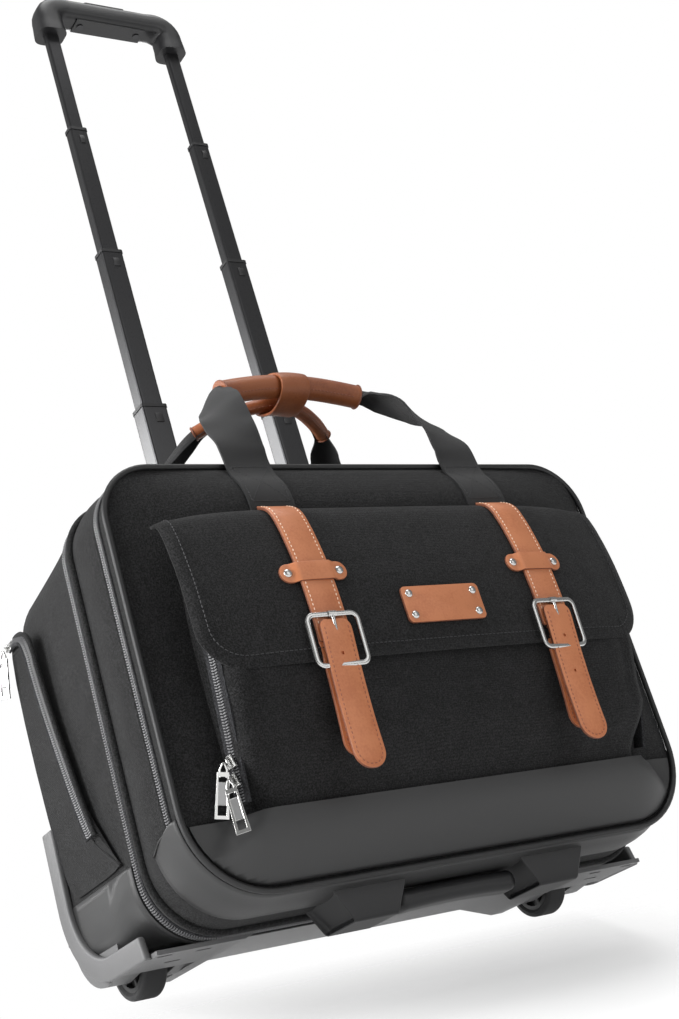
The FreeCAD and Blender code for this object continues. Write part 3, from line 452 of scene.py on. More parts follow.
def rear():
    low, high = REAR_LOW.y, REAR_HIGH.y
    bm = case_block(low, high, 0.0008, BASE_ROUND)
    soften_rim(bm, high, 0.014, 5)
    slice_up(bm, "x", -HALF, HALF, 14)
    slice_up(bm, "y", low, high, 9)
    slice_up(bm, "z", BASE, TOP, 12)
    for v in bm.verts:
        back = min(max((v.co.y - low) / (high - low), 0), 1)
        lower_corner(v.co, 1, *rear_corner(v.co.y))
        across = min(max((abs(v.co.x) - 0.12) / (HALF - 0.12), 0), 1)
        upper = min(max((v.co.z - 0.20) / (TOP - 0.20), 0), 1)
        v.co.x -= math.copysign(0.010 * across * upper * back ** 0.7, v.co.x)
        v.co.z -= 0.016 * across * upper * back ** 0.7
        if abs(v.co.x) > HALF - 0.03:
            v.co.x += math.copysign(0.0015 * hump(v.co.y, low, high) * hump(v.co.z, BASE, TOP), v.co.x)
    item = new_piece("main_compartment_cover", bm, "case", CANVAS, ["rear_compartment"], 50)
    add_modifier(item, "SOLIDIFY", thickness=0.003, offset=-1)
    settle(item)
    return item


def settle(item):
    """Apply a piece's modifiers to its mesh."""
    graph = bpy.context.evaluated_depsgraph_get()
    mesh = bpy.data.meshes.new_from_object(item.evaluated_get(graph))
    item.modifiers.clear()
    item.data = mesh


def carve(item, low, high, grow):
    """Open a cover where a hard piece stands in it, by that piece's box."""
    cutter = block(high - low + 2 * Vector((grow, grow, grow)))
    shift(cutter, (low + high) / 2)
    mesh = bpy.data.meshes.new("cutter")
    cutter.to_mesh(mesh)
    cutter.free()
    tool = bpy.data.objects.new("cutter", mesh)
    scene.collection.objects.link(tool)
    add_modifier(item, "BOOLEAN", object=tool, operation="DIFFERENCE", solver="EXACT")
    settle(item)
    bpy.data.objects.remove(tool)


lid()
middle()
main_cover = rear()
for side in ("left", "right"):
    arm_low, arm_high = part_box("wheel_housing_" + side)
    roof = Vector((arm_high.x, arm_high.y, 0.060))
    foot = Vector((arm_low.x, arm_high.y - 0.069, arm_low.z))
    carve(main_cover, foot, roof, 0.0004)
well_low, well_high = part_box("trolley_outer_tubes")
for middle_x in (-TROLLEY_X, TROLLEY_X):
    carve(main_cover, Vector((middle_x - TUBE_HOLE, well_low.y, TOP - 0.012)),
          Vector((middle_x + TUBE_HOLE, well_high.y, TOP + 0.004)), 0.0006)

# --- Piping, ribs and zippers round the body -----------------------------------------------------
# A coated cord is sewn round the lid and a rolled rib round the gusset; two coil zippers with
# cloth tapes run all the way round, their teeth woven from a nylon wire.


def outline_path(y, inset, base_round):
    """The corners and rounds of the case's outline at one depth, in order."""
    bm = case_block(y, y + 0.01, inset, base_round, 14)
    end = max((f for f in bm.faces if all(abs(v.co.y - y) < 1e-6 for v in f.verts)),
              key=lambda f: f.calc_area())
    path = [v.co.copy() for v in end.verts]
    bm.free()
    return path


def tube_along(name, path, radius, closed=True, rounds=4):
    """A round cord through points, as a bmesh."""
    curve = bpy.data.curves.new(name, "CURVE")
    curve.dimensions = "3D"
    curve.bevel_depth = radius
    curve.bevel_resolution = rounds
    curve.use_fill_caps = not closed
    spline = curve.splines.new("POLY")
    spline.points.add(len(path) - 1)
    for point, place in zip(spline.points, path):
        point.co = (*place, 1)
    spline.use_cyclic_u = closed
    item = bpy.data.objects.new(name, curve)
    bm = bmesh.new()
    bm.from_mesh(bpy.data.meshes.new_from_object(item))
    bpy.data.objects.remove(item)
    bpy.data.curves.remove(curve)
    return bm


def walk(path, pitch, closed=True):
    """Places at equal steps along a path, each with the path's direction there."""
    ends = path + [path[0]] if closed else path
    total = sum((b - a).length for a, b in zip(ends, ends[1:]))
    count = max(1, round(total / pitch))
    step = total / count
    places, along, wanted = [], 0.0, step / 2
    for a, b in zip(ends, ends[1:]):
        run = (b - a).length
        while wanted <= along + run + 1e-9 and len(places) < count:
            places.append((a.lerp(b, (wanted - along) / run), (b - a).normalized()))
            wanted += step
        along += run
    return places


def frames_along(places, outward, aside=0.0, lift=0.0, slant=0.0):
    """A placement at each step: x along the path, y across it, z outward."""
    frames = []
    for place, ahead in places:
        up = outward(place)
        across = up.cross(ahead).normalized()
        up = ahead.cross(across).normalized()
        axes = Matrix((ahead, across, up)).transposed() @ Matrix.Rotation(slant, 3, "Z")
        frames.append(Matrix.Translation(place + across * aside + up * lift) @ axes.to_4x4())
    return frames


def repeated(shape, frames):
    """One shape copied to many placements, as a bmesh; the shape is used up."""
    template = bpy.data.meshes.new("template")
    shape.to_mesh(template)
    shape.free()
    made = bmesh.new()
    corners = [v.co.copy() for v in template.vertices]
    loops = [list(f.vertices) for f in template.polygons]
    bpy.data.meshes.remove(template)
    joined = bpy.data.meshes.new("copies")
    joined.from_pydata([m @ c for m in frames for c in corners], [],
                       [[i + k * len(corners) for i in loop] for k in range(len(frames)) for loop in loops])
    made.from_mesh(joined)
    bpy.data.meshes.remove(joined)
    return made


def merge_into(target, made):
    """Add one bmesh to another; the added one is used up."""
    held = bpy.data.meshes.new("held")
    made.to_mesh(held)
    made.free()
    target.from_mesh(held)
    bpy.data.meshes.remove(held)


def from_body(place):
    """Outward from the case's outline at a point of it."""
    middle_x = max(min(place.x, HALF - 0.06), -HALF + 0.06)
    middle_z = max(min(place.z, TOP - 0.06), BASE + 0.06)
    return Vector((place.x - middle_x, 0, place.z - middle_z))


def grain(material_parts, scale, strength, distance, rough_low, rough_high):
    material, tree, links, shader = material_parts
    fine = noise_of(tree, links, scale, 4.0)
    bump(tree, links, shader, fine, strength, distance)
    spread = tree.new("ShaderNodeMapRange")
    give(spread, To_Min=rough_low, To_Max=rough_high)
    links.new(fine, spread.inputs["Value"])
    links.new(spread.outputs[0], shader.inputs["Roughness"])
    return material


CORD_PARTS = basic("piping_cover", (0.008, 0.008, 0.0085), 0.5)
CORD = grain(CORD_PARTS, 1400, 0.4, 0.0004, 0.42, 0.62)
piping_path = outline_path(LID_LOW.y - 0.0022, 0.0, BASE_ROUND)
rib_path = outline_path(MID_HIGH.y - 0.0066, 0.0002, BASE_ROUND)
cords = tube_along("piping", piping_path, 0.0022)
new_piece("front_piping", cords, "case", CORD, ["piping"], 180)
for point in rib_path:
    lower_corner(point, share_at(point.y))
rib = tube_along("rib", rib_path, 0.0029)
new_piece("gusset_rib", rib, "case", CANVAS, [], 180)

# Painted highlight: the teeth's grey base colour is lightened to stand for the shine along the coil; every
# zipper's teeth use it.
TEETH_PARTS = basic("zipper_teeth", (0.16, 0.16, 0.165), 0.34, Specular_IOR_Level=0.6)
TEETH = grain(TEETH_PARTS, 2500, 0.3, 0.0002, 0.30, 0.50)
TAPE = woven("zipper_tape", (0.009, 0.009, 0.010), (0.045, 0.046, 0.050), 0.0007, 0.0003)


def coil(path, outward, closed=True, pitch=0.0019, lift=0.0004):
    """Two rows of slanted teeth that mesh in the middle of a zipper."""
    places = walk(path, pitch, closed)
    rows = (frames_along(places, outward, 0.0014, lift, 0.25)
            + frames_along(places, outward, -0.0014, lift, -0.25))
    return repeated(block((0.0010, 0.0030, 0.0011), 0.75), rows)


def ring_zipper(name, node, low_y, high_y, inset):
    path = outline_path((low_y + high_y) / 2, inset - 0.0006, BASE_ROUND)
    for point in path:
        lower_corner(point, share_at(point.y))
    tape = case_block(low_y, high_y, inset, BASE_ROUND, 14)
    open_back(tape, low_y)
    open_back(tape, high_y)
    slice_up(tape, "y", low_y, high_y, 8)
    for v in tape.verts:
        t = abs((v.co.y - (low_y + high_y) / 2) / (high_y - low_y) * 2)
        v.co += from_body(v.co).normalized() * (0.0012 * hump(t, 0.35, 1.05) - 0.0003)
        lower_corner(v.co, share_at(v.co.y))
    tape_item = new_piece(name + "_tape", tape, "case", TAPE, [node], 60)
    add_modifier(tape_item, "SOLIDIFY", thickness=0.0012, offset=-1)
    new_piece(name + "_teeth", coil(path, from_body), "case", TEETH, [], 30)


ring_zipper("front_zipper", "zipper_front", LID_HIGH.y, MID_LOW.y, 0.0011)
ring_zipper("main_zipper", "zipper_main", MID_HIGH.y, REAR_LOW.y, 0.0011)

# --- Coated band, corner strips and side panels --------------------------------------------------
# Scuff-resistant coated cloth covers the lower front, wraps under the lower corners between
# piping and rib, and covers the lower sides; it is glued to foam and stitched into the seams.

BAND_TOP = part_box("front_band")[1].z
COATED_PARTS = basic("coated_cloth", (0.028, 0.0281, 0.0285), 0.5, Specular_IOR_Level=0.42, Coat_Weight=0.08,
                     Coat_Roughness=0.45)
COATED = grain(COATED_PARTS, 1700, 0.35, 0.0003, 0.40, 0.56)


def keep_between(bm, axis, low, high):
    """Cut away what lies outside two planes across an axis."""
    normal = Vector((axis == "x", axis == "y", axis == "z"))
    for limit, sign in ((low, -1), (high, 1)):
        cut(bm, normal * limit, normal * sign, clear_outer=True)


def band_swell(x, z):
    """How far the band stands off the lid: full below the pocket, flat in the lower corners."""
    low_edge = z - BASE
    side_edge = HALF - abs(x)
    corner = Vector((max(abs(x) - (HALF - BASE_ROUND), 0), max(BASE + BASE_ROUND - z, 0))).length
    rim = min(low_edge, side_edge, BASE_ROUND - corner if corner > 0 else 1)
    swell = 1 - (1 - min(max((rim - 0.004) / 0.045, 0), 1)) ** 2
    crease = ease((0.262 - abs(x) - z) / 0.022)
    return 0.0022 + 0.0175 * swell * crease + 0.003 * swell


band = case_block(LID_LOW.y - 0.004, LID_LOW.y, 0.0042, BASE_ROUND, 12)
keep_between(band, "z", 0, BAND_TOP)
slice_up(band, "x", -HALF, HALF, 60)
slice_up(band, "z", BASE, BAND_TOP, 24)
for v in band.verts:
    if v.co.y < LID_LOW.y - 0.002:
        v.co.y = LID_LOW.y - band_swell(v.co.x, v.co.z)
band_item = new_piece("coated_front_band", band, "case", COATED, ["front_band"], 60)

STRIP_TOP = 0.082
STRIP_BACK = MID_HIGH.y - 0.028
strip = case_block(LID_LOW.y + 0.0005, STRIP_BACK, -0.0022, BASE_ROUND, 16)
open_back(strip, LID_LOW.y + 0.0005)
open_back(strip, STRIP_BACK)
keep_between(strip, "z", 0, STRIP_TOP)
slice_up(strip, "y", LID_LOW.y, STRIP_BACK, 8)
slice_up(strip, "x", -HALF, HALF, 14)
for v in strip.verts:
    t = (v.co.y - LID_LOW.y) / (STRIP_BACK - LID_LOW.y)
    outward = from_body(v.co).normalized()
    v.co += outward * (0.0022 * hump(t, 0, 1) - 0.0004)
    if v.co.z > STRIP_TOP - 0.001:
        v.co.z -= 0.004 * t
    lower_corner(v.co, share_at(v.co.y))
strip_item = new_piece("coated_corner_strip", strip, "case", COATED, [], 60)
add_modifier(strip_item, "SOLIDIFY", thickness=0.0012, offset=-1)

PANEL_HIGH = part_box("side_panels")[1]
panel = case_block(REAR_LOW.y + 0.0004, PANEL_HIGH.y, -0.0012, BASE_ROUND, 10)
open_back(panel, REAR_LOW.y + 0.0004)
open_back(panel, PANEL_HIGH.y)
slice_up(panel, "y", REAR_LOW.y, PANEL_HIGH.y, 12)
slice_up(panel, "z", BASE, 0.16, 14)
for v in panel.verts:
    lower_corner(v.co, 1, *rear_corner(v.co.y))
    if abs(v.co.x) > HALF - 0.01:
        v.co.x += math.copysign(
            0.0016 * hump(v.co.y, REAR_LOW.y, PANEL_HIGH.y) * hump(v.co.z, BASE, PANEL_HIGH.z), v.co.x)
keep_between(panel, "z", 0, PANEL_HIGH.z - 0.001)
panel_item = new_piece("coated_side_panels", panel, "case", COATED, ["side_panels"], 60)
add_modifier(panel_item, "SOLIDIFY", thickness=0.0012, offset=-1)

# --- Gusseted front pocket and its zippers -----------------------------------------------------
# A full pocket of the same canvas over light foam; its side gussets fold in, and each holds a
# coil zipper from under the flap down to the band.

POCKET_LOW, POCKET_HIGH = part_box("front_pocket")
POCKET_HALF = POCKET_HIGH.x


def through(points, value):
    """A smooth curve's height at one value, from its (value, height) points."""
    for (a, ha), (b, hb) in zip(points, points[1:]):
        if value <= b:
            return ha + (hb - ha) * ease((value - a) / (b - a))
    return points[-1][1]


POCKET_FACE = [(0.075, -0.0862), (0.120, -0.1035), (0.165, -0.1125), (0.205, -0.1110), (0.245, -0.1030),
               (0.272, -0.0930)]
POCKET_TOP = 0.272

pocket = block((2 * POCKET_HALF, 1.0, POCKET_TOP - POCKET_LOW.z))
shift(pocket, (0, 0.5, (POCKET_TOP + POCKET_LOW.z) / 2))
slice_up(pocket, "x", -POCKET_HALF, POCKET_HALF, 72)
slice_up(pocket, "y", 0, 1, 6)
slice_up(pocket, "z", POCKET_LOW.z, POCKET_TOP, 30)
SEAM_X = 0.166
for v in pocket.verts:
    x, deep, z = v.co
    face = through(POCKET_FACE, z)
    edge = (POCKET_HALF - abs(x)) / 0.016
    round_off = 0.010 * (1 - math.sqrt(max(1 - (1 - min(edge, 1)) ** 2, 0)))
    seam = 0.0030 * math.exp(-((abs(x) - SEAM_X) / 0.0035) ** 2) * hump(z, 0.070, 0.30)
    sag = 0.0014 * math.sin(z * 55 + 2.0) * hump(abs(x), 0.02, SEAM_X) * hump(z, 0.08, 0.17)
    front = face + round_off + seam + sag
    v.co.y = front + (LID_LOW.y - 0.0015 - front) * deep
    if abs(x) > POCKET_HALF - 0.001:
        fold = 0.006 * hump(deep, 0.1, 0.95) * ease((0.28 - z) / 0.1)
        v.co.x -= math.copysign(fold, x)
    pinch = 0.016 * ease((0.115 - z) / 0.04) * (1 - deep)
    v.co.x *= 1 - pinch * ease((abs(x) - 0.12) / 0.06) / POCKET_HALF
pocket_item = new_piece("front_pocket_body", pocket, "case", CANVAS, ["front_pocket"], 60)


def from_pocket(place):
    return Vector((math.copysign(1.0, place.x), -0.25, 0))


zip_teeth = bmesh.new()
zip_tapes = bmesh.new()
for sign in (-1, 1):
    line = [Vector((sign * x, y, z)) for x, y, z in
            ((0.1835, -0.0990, 0.203), (0.1838, -0.0985, 0.178), (0.1835, -0.0950, 0.150),
             (0.1822, -0.0900, 0.122), (0.1800, -0.0845, 0.100), (0.1780, -0.0795, 0.083))]
    for target, made in ((zip_teeth, coil(line, from_pocket, False, 0.0019, 0.0014)),
                         (zip_tapes, repeated(block((0.0062, 0.0135, 0.0018)),
                                              frames_along(walk(line, 0.006, False), from_pocket)))):
        merge_into(target, made)
new_piece("gusset_zipper_teeth", zip_teeth, "case", TEETH, ["gusset_zippers"], 30)
new_piece("gusset_zipper_tape", zip_tapes, "case", TAPE, [], 30)

# --- Flap ---------------------------------------------------------------------------------------
# Two layers of canvas over a thin stiffener, bound along its sides and foot with a folded tape;
# it is sewn to the lid along its head and falls over the pocket.

FLAP_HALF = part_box("flap")[1].x
FLAP_ROUND = 0.032
FLAP_LINE = [(-0.0850, 0.2885), (-0.0935, 0.2862), (-0.1005, 0.2805), (-0.1060, 0.2705), (-0.1108, 0.2550),
             (-0.1152, 0.2345),
             (-0.1178, 0.2110), (-0.1186, 0.1850), (-0.1180, 0.1615)]
BINDING = 0.0105


def smooth_line(points, count=60):
    """A smooth line through points, as evenly spaced places."""
    spline = bpy.data.curves.new("line", "CURVE")
    spline.dimensions = "3D"
    run = spline.splines.new("BEZIER")
    run.bezier_points.add(len(points) - 1)
    for knot, place in zip(run.bezier_points, points):
        knot.co = place
        knot.handle_left_type = knot.handle_right_type = "AUTO"
    spline.resolution_u = 12
    item = bpy.data.objects.new("line", spline)
    mesh = bpy.data.meshes.new_from_object(item)
    fine = [v.co.copy() for v in mesh.vertices]
    bpy.data.objects.remove(item)
    bpy.data.curves.remove(spline)
    bpy.data.meshes.remove(mesh)
    return [place for place, _ in walk([fine[0]] + fine,
                                       (sum((b - a).length for a, b in zip(fine, fine[1:]))) / count, False)]


def marks_of(line):
    """The distance along a line at each of its places."""
    marks = [0.0]
    for a, b in zip(line, line[1:]):
        marks.append(marks[-1] + (b - a).length)
    return marks


class Bend:
    """A line in the YZ plane that flat patterns are laid along, outside facing -Y and up."""

    def __init__(self, points):
        line = [Vector((0, y, z)) for y, z in points]
        self.line = smooth_line(line)
        self.line[0], self.line[-1] = line[0], line[-1]
        self.marks = marks_of(self.line)
        self.length = self.marks[-1]

    def at(self, along):
        i = 0
        while i < len(self.marks) - 2 and self.marks[i + 1] < along:
            i += 1
        a, b = self.line[i], self.line[i + 1]
        t = (along - self.marks[i]) / (self.marks[i + 1] - self.marks[i])
        ahead = (b - a).normalized()
        before = (a - self.line[i - 1]).normalized() if i else ahead
        after = (self.line[i + 2] - b).normalized() if i + 2 < len(self.line) else ahead
        ahead = ((before + ahead) * (1 - t) + (ahead + after) * t).normalized()
        return a.lerp(b, t), Vector((0, ahead.z, -ahead.y))

    def lay(self, verts, shape=None):
        """Move flat verts (x across, y along, z outward) onto the line."""
        for v in verts:
            place, out = self.at(v.co.y)
            x, lift = v.co.x, v.co.z
            if shape:
                lift += shape(x, v.co.y)
            v.co = Vector((x, place.y, place.z)) + out * lift


def flap_droop(x, along):
    """The flap falls back towards its sides, most over the pocket's upper corners."""
    side = abs(x) / FLAP_HALF
    return (-0.0085 * side ** 5
            - 0.0045 * side ** 2 * math.sin(math.pi * min(along / 0.2, 1)) * ease(along / 0.03))


def rectangle(wide, long):
    """A flat rectangle about the origin."""
    bm = bmesh.new()
    bmesh.ops.create_grid(bm, x_segments=1, y_segments=1, size=0.5)
    bmesh.ops.scale(bm, vec=(wide, long, 1), verts=bm.verts)
    return bm


flap_bend = Bend(FLAP_LINE)
flap = rectangle(2 * FLAP_HALF, flap_bend.length)
shift(flap, (0, flap_bend.length / 2, 0))
bmesh.ops.bevel(flap, geom=[v for v in flap.verts if v.co.y > 0.05], offset=FLAP_ROUND, segments=12,
                affect="VERTICES", profile=0.5,
                material=-1)
inner = bmesh.ops.inset_region(flap, faces=flap.faces[:], thickness=BINDING, use_even_offset=True)
bmesh.ops.inset_region(flap, faces=[f for f in flap.faces if f not in inner["faces"]], thickness=0.0012,
                       use_even_offset=True)
slice_up(flap, "x", -FLAP_HALF, FLAP_HALF, 64)
slice_up(flap, "y", 0, flap_bend.length, 34)


def from_rim(place):
    """Distance of a place on the flat flap from its bound edge: sides, foot and round corners."""
    side = FLAP_HALF - abs(place.x)
    foot_edge = flap_bend.length - place.y
    if side < FLAP_ROUND and foot_edge < FLAP_ROUND:
        return FLAP_ROUND - Vector((FLAP_ROUND - side, FLAP_ROUND - foot_edge)).length
    return min(side, foot_edge)


for v in flap.verts:
    d = from_rim(v.co)
    v.co.z = (0.0006 if d < BINDING - 0.0004 else
              -0.0006 if d < BINDING + 0.0006 else 0.0004 * ease((d - BINDING) / 0.02))
    v.co.z -= 0.0010 * (1 - ease(d / 0.0025))
flap_bend.lay(flap.verts, flap_droop)
flap_item = new_piece("flap_cover", flap, "pocket_flap", CANVAS, ["flap"], 60, (0, -1, 0.2))
add_modifier(flap_item, "SOLIDIFY", thickness=0.0024, offset=-1)

THREAD_PARTS = basic("black_thread", (0.030, 0.030, 0.032), 0.6)
THREAD = grain(THREAD_PARTS, 4000, 0.3, 0.0001, 0.5, 0.7)


def stitches(name, runs, pitch, long, wide, material, body, bend=None, lift=0.0, shape=None):
    """Thread stitches along flat runs, laid on a bend where one is given."""
    made = bmesh.new()
    for run in runs:
        up = Vector((0, 0, 1))
        frames = frames_along(walk(run, pitch, False), lambda place: up, 0.0, lift)
        row = repeated(block((long, wide, wide * 0.9), 0.6, wide * 0.2), frames)
        merge_into(made, row)
    if bend:
        bend.lay(made.verts, shape)
    return new_piece(name, made, body, material, [], 30)


def inner_line(inset):
    """The bound edge's line moved inwards, from one side of the head round to the other."""
    line = [Vector((-FLAP_HALF + inset, 0, 0))]
    r = FLAP_ROUND - inset
    foot_y = flap_bend.length - inset
    for i in range(9):
        a = math.pi / 2 * i / 8
        line.append(Vector((-FLAP_HALF + inset + r - r * math.cos(a), foot_y - r + r * math.sin(a), 0)))
    mirrored = [Vector((-p.x, p.y, 0)) for p in reversed(line)]
    return line + mirrored


stitches("flap_stitching", [inner_line(BINDING - 0.0016)], 0.0036, 0.0026, 0.0007, THREAD, "pocket_flap",
         flap_bend, 0.0009, flap_droop)

# --- Leather straps, keepers, buckles and plate ----------------------------------------------------
# Two doubled and stitched straps of tan leather hang over the flap; each passes a riveted keeper
# and a nickel buckle, and a magnet snap on a leather tab holds its foot to the pocket.


def leather(name, colour, dark):
    """Smooth tanned hide: fine pebble, soft blotches and a low waxed sheen."""
    material, tree, links, shader = basic(name, colour, 0.48, Specular_IOR_Level=0.45, Coat_Weight=0.12,
                                          Coat_Roughness=0.35)
    pebble = tree.new("ShaderNodeTexVoronoi")
    give(pebble, Scale=1300)
    place = tree.new("ShaderNodeTexCoord")
    links.new(place.outputs["Object"], pebble.inputs["Vector"])
    blotch = noise_of(tree, links, 45, 3.0)
    fine = noise_of(tree, links, 600, 3.0)
    mixed = weighted(tree, links, blotch, 0.65, fine, 0.35)
    links.new(ramp(tree, links, mixed, [(0.36, dark), (0.56, colour)]), shader.inputs["Base Color"])
    height = weighted(tree, links, pebble.outputs["Distance"], 0.6, fine)
    bump(tree, links, shader, height, 0.30, 0.00025)
    return material


TAN = leather("tan_leather", (0.60, 0.215, 0.090), (0.51, 0.165, 0.064))
TAN_EDGE = leather("burnished_edge", (0.25, 0.085, 0.042), (0.16, 0.052, 0.028))
TAN_THREAD = grain(basic("tan_thread", (0.82, 0.60, 0.45), 0.55), 4000, 0.3, 0.0001, 0.45, 0.65)
RUST_THREAD = grain(basic("rust_thread", (0.30, 0.10, 0.05), 0.55), 4000, 0.3, 0.0001, 0.45, 0.65)
GRIP_TAN = leather("grip_leather", (0.33, 0.100, 0.032), (0.24, 0.064, 0.020))
NICKEL = grain(basic("polished_nickel", (0.50, 0.50, 0.49), 0.24, Metallic=1.0), 500, 0.06, 0.0001, 0.18, 0.30)


def hide(width, length, thick, tip_round, head_round, rim=0.0006):
    """A flat leather blank, x across and y from 0 to its length, lying on z = 0."""
    bm = block((width, length, thick))
    shift(bm, (0, length / 2, thick / 2))
    for at_tip, radius in ((True, tip_round), (False, head_round)):
        upright = [e for e in bm.edges if abs(e.verts[0].co.z - e.verts[1].co.z) > thick / 2
                   and abs(abs(e.verts[0].co.x) - width / 2) < 1e-6
                   and (e.verts[0].co.y > length / 2) == at_tip]
        if radius:
            round_edges(bm, upright, radius, 9)
    flat = [f for f in bm.faces if abs(f.normal.z) > 0.9]
    edges = {e for f in flat for e in f.edges}
    round_edges(bm, list(edges), rim, 2)
    for f in bm.faces:
        f.material_index = 0 if abs(f.normal.z) > 0.75 else 1
    return bm


def blank_line(width, length, inset, tip_round, start):
    """The stitch line round a blank, inside its edge."""
    half = width / 2 - inset
    points = [Vector((-half, start, 0))]
    r = max(tip_round - inset, 0.0005)
    for i in range(9):
        a = math.pi / 2 * i / 8
        points.append(Vector((-half + r - r * math.cos(a), length - inset - r + r * math.sin(a), 0)))
    return points + [Vector((-p.x, p.y, 0)) for p in reversed(points)]


def shifted(points, x):
    return [p + Vector((x, 0, 0)) for p in points]


def leather_piece(name, bm, body, node=(), bend=None):
    if bend:
        bend.lay(bm.verts)
    item = new_piece(name, bm, body, TAN, node, 40)
    item.data.materials.append(TAN_EDGE)
    return item


STRAP_LOW, STRAP_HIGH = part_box("strap_right")
STRAP_X = (STRAP_LOW.x + STRAP_HIGH.x) / 2
STRAP_WIDE = STRAP_HIGH.x - STRAP_LOW.x
STRAP_THICK = 0.0023
upper_line = []
for step in range(9):
    place, out = flap_bend.at(0.004 + (flap_bend.length - 0.016) * step / 8)
    upper_line.append(place + out * (
        0.0012 + flap_droop(STRAP_X, 0.004 + (flap_bend.length - 0.016) * step / 8)))
UPPER = Bend([(p.y, p.z) for p in upper_line])
LOWER = Bend([(-0.1212, 0.1880), (-0.1220, 0.1800), (-0.1212, 0.1700), (-0.1200, 0.1560), (-0.1190, 0.1400),
              (-0.1184, 0.1200),
              (-0.1186, 0.1000), (-0.1194, STRAP_LOW.z)])


def fine_slices(bm, length, step=0.004):
    slice_up(bm, "y", 0, length, max(2, round(length / step)))


for name, x in (("left", -STRAP_X), ("right", STRAP_X)):
    upper = hide(STRAP_WIDE, UPPER.length, STRAP_THICK, 0.002, 0.003)
    fine_slices(upper, UPPER.length)
    shift(upper, (x, 0, 0))
    leather_piece("strap_" + name + "_upper", upper, "pocket_flap", ["strap_" + name], UPPER)
    rows = blank_line(STRAP_WIDE, UPPER.length, 0.0028, 0.003, 0.003)
    stitches("strap_" + name + "_upper_stitching", [shifted(rows, x)], 0.0033, 0.0022, 0.0008, TAN_THREAD,
             "pocket_flap",
             UPPER, STRAP_THICK + 0.0001)
    lower = hide(STRAP_WIDE - 0.002, LOWER.length, STRAP_THICK, 0.0122, 0.006)
    fine_slices(lower, LOWER.length)
    shift(lower, (x, 0, 0))
    lower_item = leather_piece("strap_" + name + "_lower", lower, "pocket_flap")
    for hole_y in ((0.0245,) if name == "left" else (0.0245, 0.052)):
        carve(lower_item, Vector((x - 0.0011, hole_y - 0.0011, 0.001)),
              Vector((x + 0.0011, hole_y + 0.0011, 0.01)), 0.0)
    bent = bmesh.new()
    bent.from_mesh(lower_item.data)
    LOWER.lay(bent.verts)
    bent.to_mesh(lower_item.data)
    bent.free()
    rows = blank_line(STRAP_WIDE - 0.002, LOWER.length, 0.0028, 0.0122, 0.005)
    stitches("strap_" + name + "_lower_stitching", [shifted(rows, x)], 0.0033, 0.0022, 0.0008, RUST_THREAD,
             "pocket_flap",
             LOWER, STRAP_THICK + 0.0001)

TAB_LOW, TAB_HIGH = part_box("snap_tabs")
TAB = Bend([(-0.1152, TAB_HIGH.z), (-0.1150, 0.160), (-0.1140, 0.140), (-0.1125, 0.120), (-0.1110, 0.105),
            (-0.1098, TAB_LOW.z)])
tabs = bmesh.new()
tab_rows = []
for x in (-STRAP_X, STRAP_X):
    tab = hide(0.0245, TAB.length, 0.0022, 0.0110, 0.003)
    fine_slices(tab, TAB.length, 0.006)
    shift(tab, (x, 0, 0))
    merge_into(tabs, tab)
    tab_rows.append(shifted(blank_line(0.0245, TAB.length, 0.0028, 0.0110, 0.005), x))
leather_piece("snap_leather_tabs", tabs, "case", ["snap_tabs"], TAB)
stitches("snap_tab_stitching", tab_rows, 0.0033, 0.0022, 0.0008, RUST_THREAD, "case", TAB,
         0.0023)

snaps = bmesh.new()
for x in (-STRAP_X, STRAP_X):
    bmesh.ops.create_cone(snaps, cap_ends=True, segments=28, radius1=0.007, radius2=0.0062, depth=0.0030,
                          matrix=Matrix.Translation((x, -0.1151, 0.119)) @ Matrix.Rotation(math.pi / 2, 4, "X"))
snap_item = new_piece("snap_studs", snaps, "case", NICKEL, [], 40)
add_modifier(snap_item, "BEVEL", width=0.0005, segments=2)


KEEPER_LOW, KEEPER_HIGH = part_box("keepers")
KEEPER_Z = (KEEPER_LOW.z + KEEPER_HIGH.z) / 2
KEEPER_TALL = KEEPER_HIGH.z - KEEPER_LOW.z
KEEPER_WIDE = 0.054


def on_flap(bm, x, z, lift):
    """Stand a flat pattern, drawn about the origin with z outward, on the flap at (x, z)."""
    low, high = 0.0, flap_bend.length
    for _ in range(30):
        half = (low + high) / 2
        if flap_bend.at(half)[0].z > z:
            low = half
        else:
            high = half
    centre, out = flap_bend.at(low)
    up = Vector((0, out.z, -out.y))
    for v in bm.verts:
        v.co.z += flap_droop(x + v.co.x, low)
    base = Vector((x, centre.y, centre.z)) + out * lift
    axes = Matrix((Vector((1, 0, 0)), up, out)).transposed().to_4x4()
    bmesh.ops.transform(bm, matrix=Matrix.Translation(base) @ axes, verts=bm.verts)


def centred(bm, length):
    shift(bm, (0, -length / 2, 0))
    return bm


def rivet(radius=0.0033, height=0.0016):
    """A domed rivet head on its washer."""
    bm = bmesh.new()
    profile = [Vector((radius, 0, 0)), Vector((radius, 0, height * 0.25)),
               Vector((radius * 0.8, 0, height * 0.75)),
               Vector((radius * 0.45, 0, height)), Vector((0, 0, height * 1.05))]
    verts = [bm.verts.new(p) for p in profile]
    edges = [bm.edges.new(pair) for pair in zip(verts, verts[1:])]
    bmesh.ops.spin(bm, geom=verts + edges, axis=(0, 0, 1), cent=(0, 0, 0), steps=20, angle=2 * math.pi,
                   use_merge=True)
    bmesh.ops.remove_doubles(bm, verts=bm.verts, dist=1e-6)
    return bm


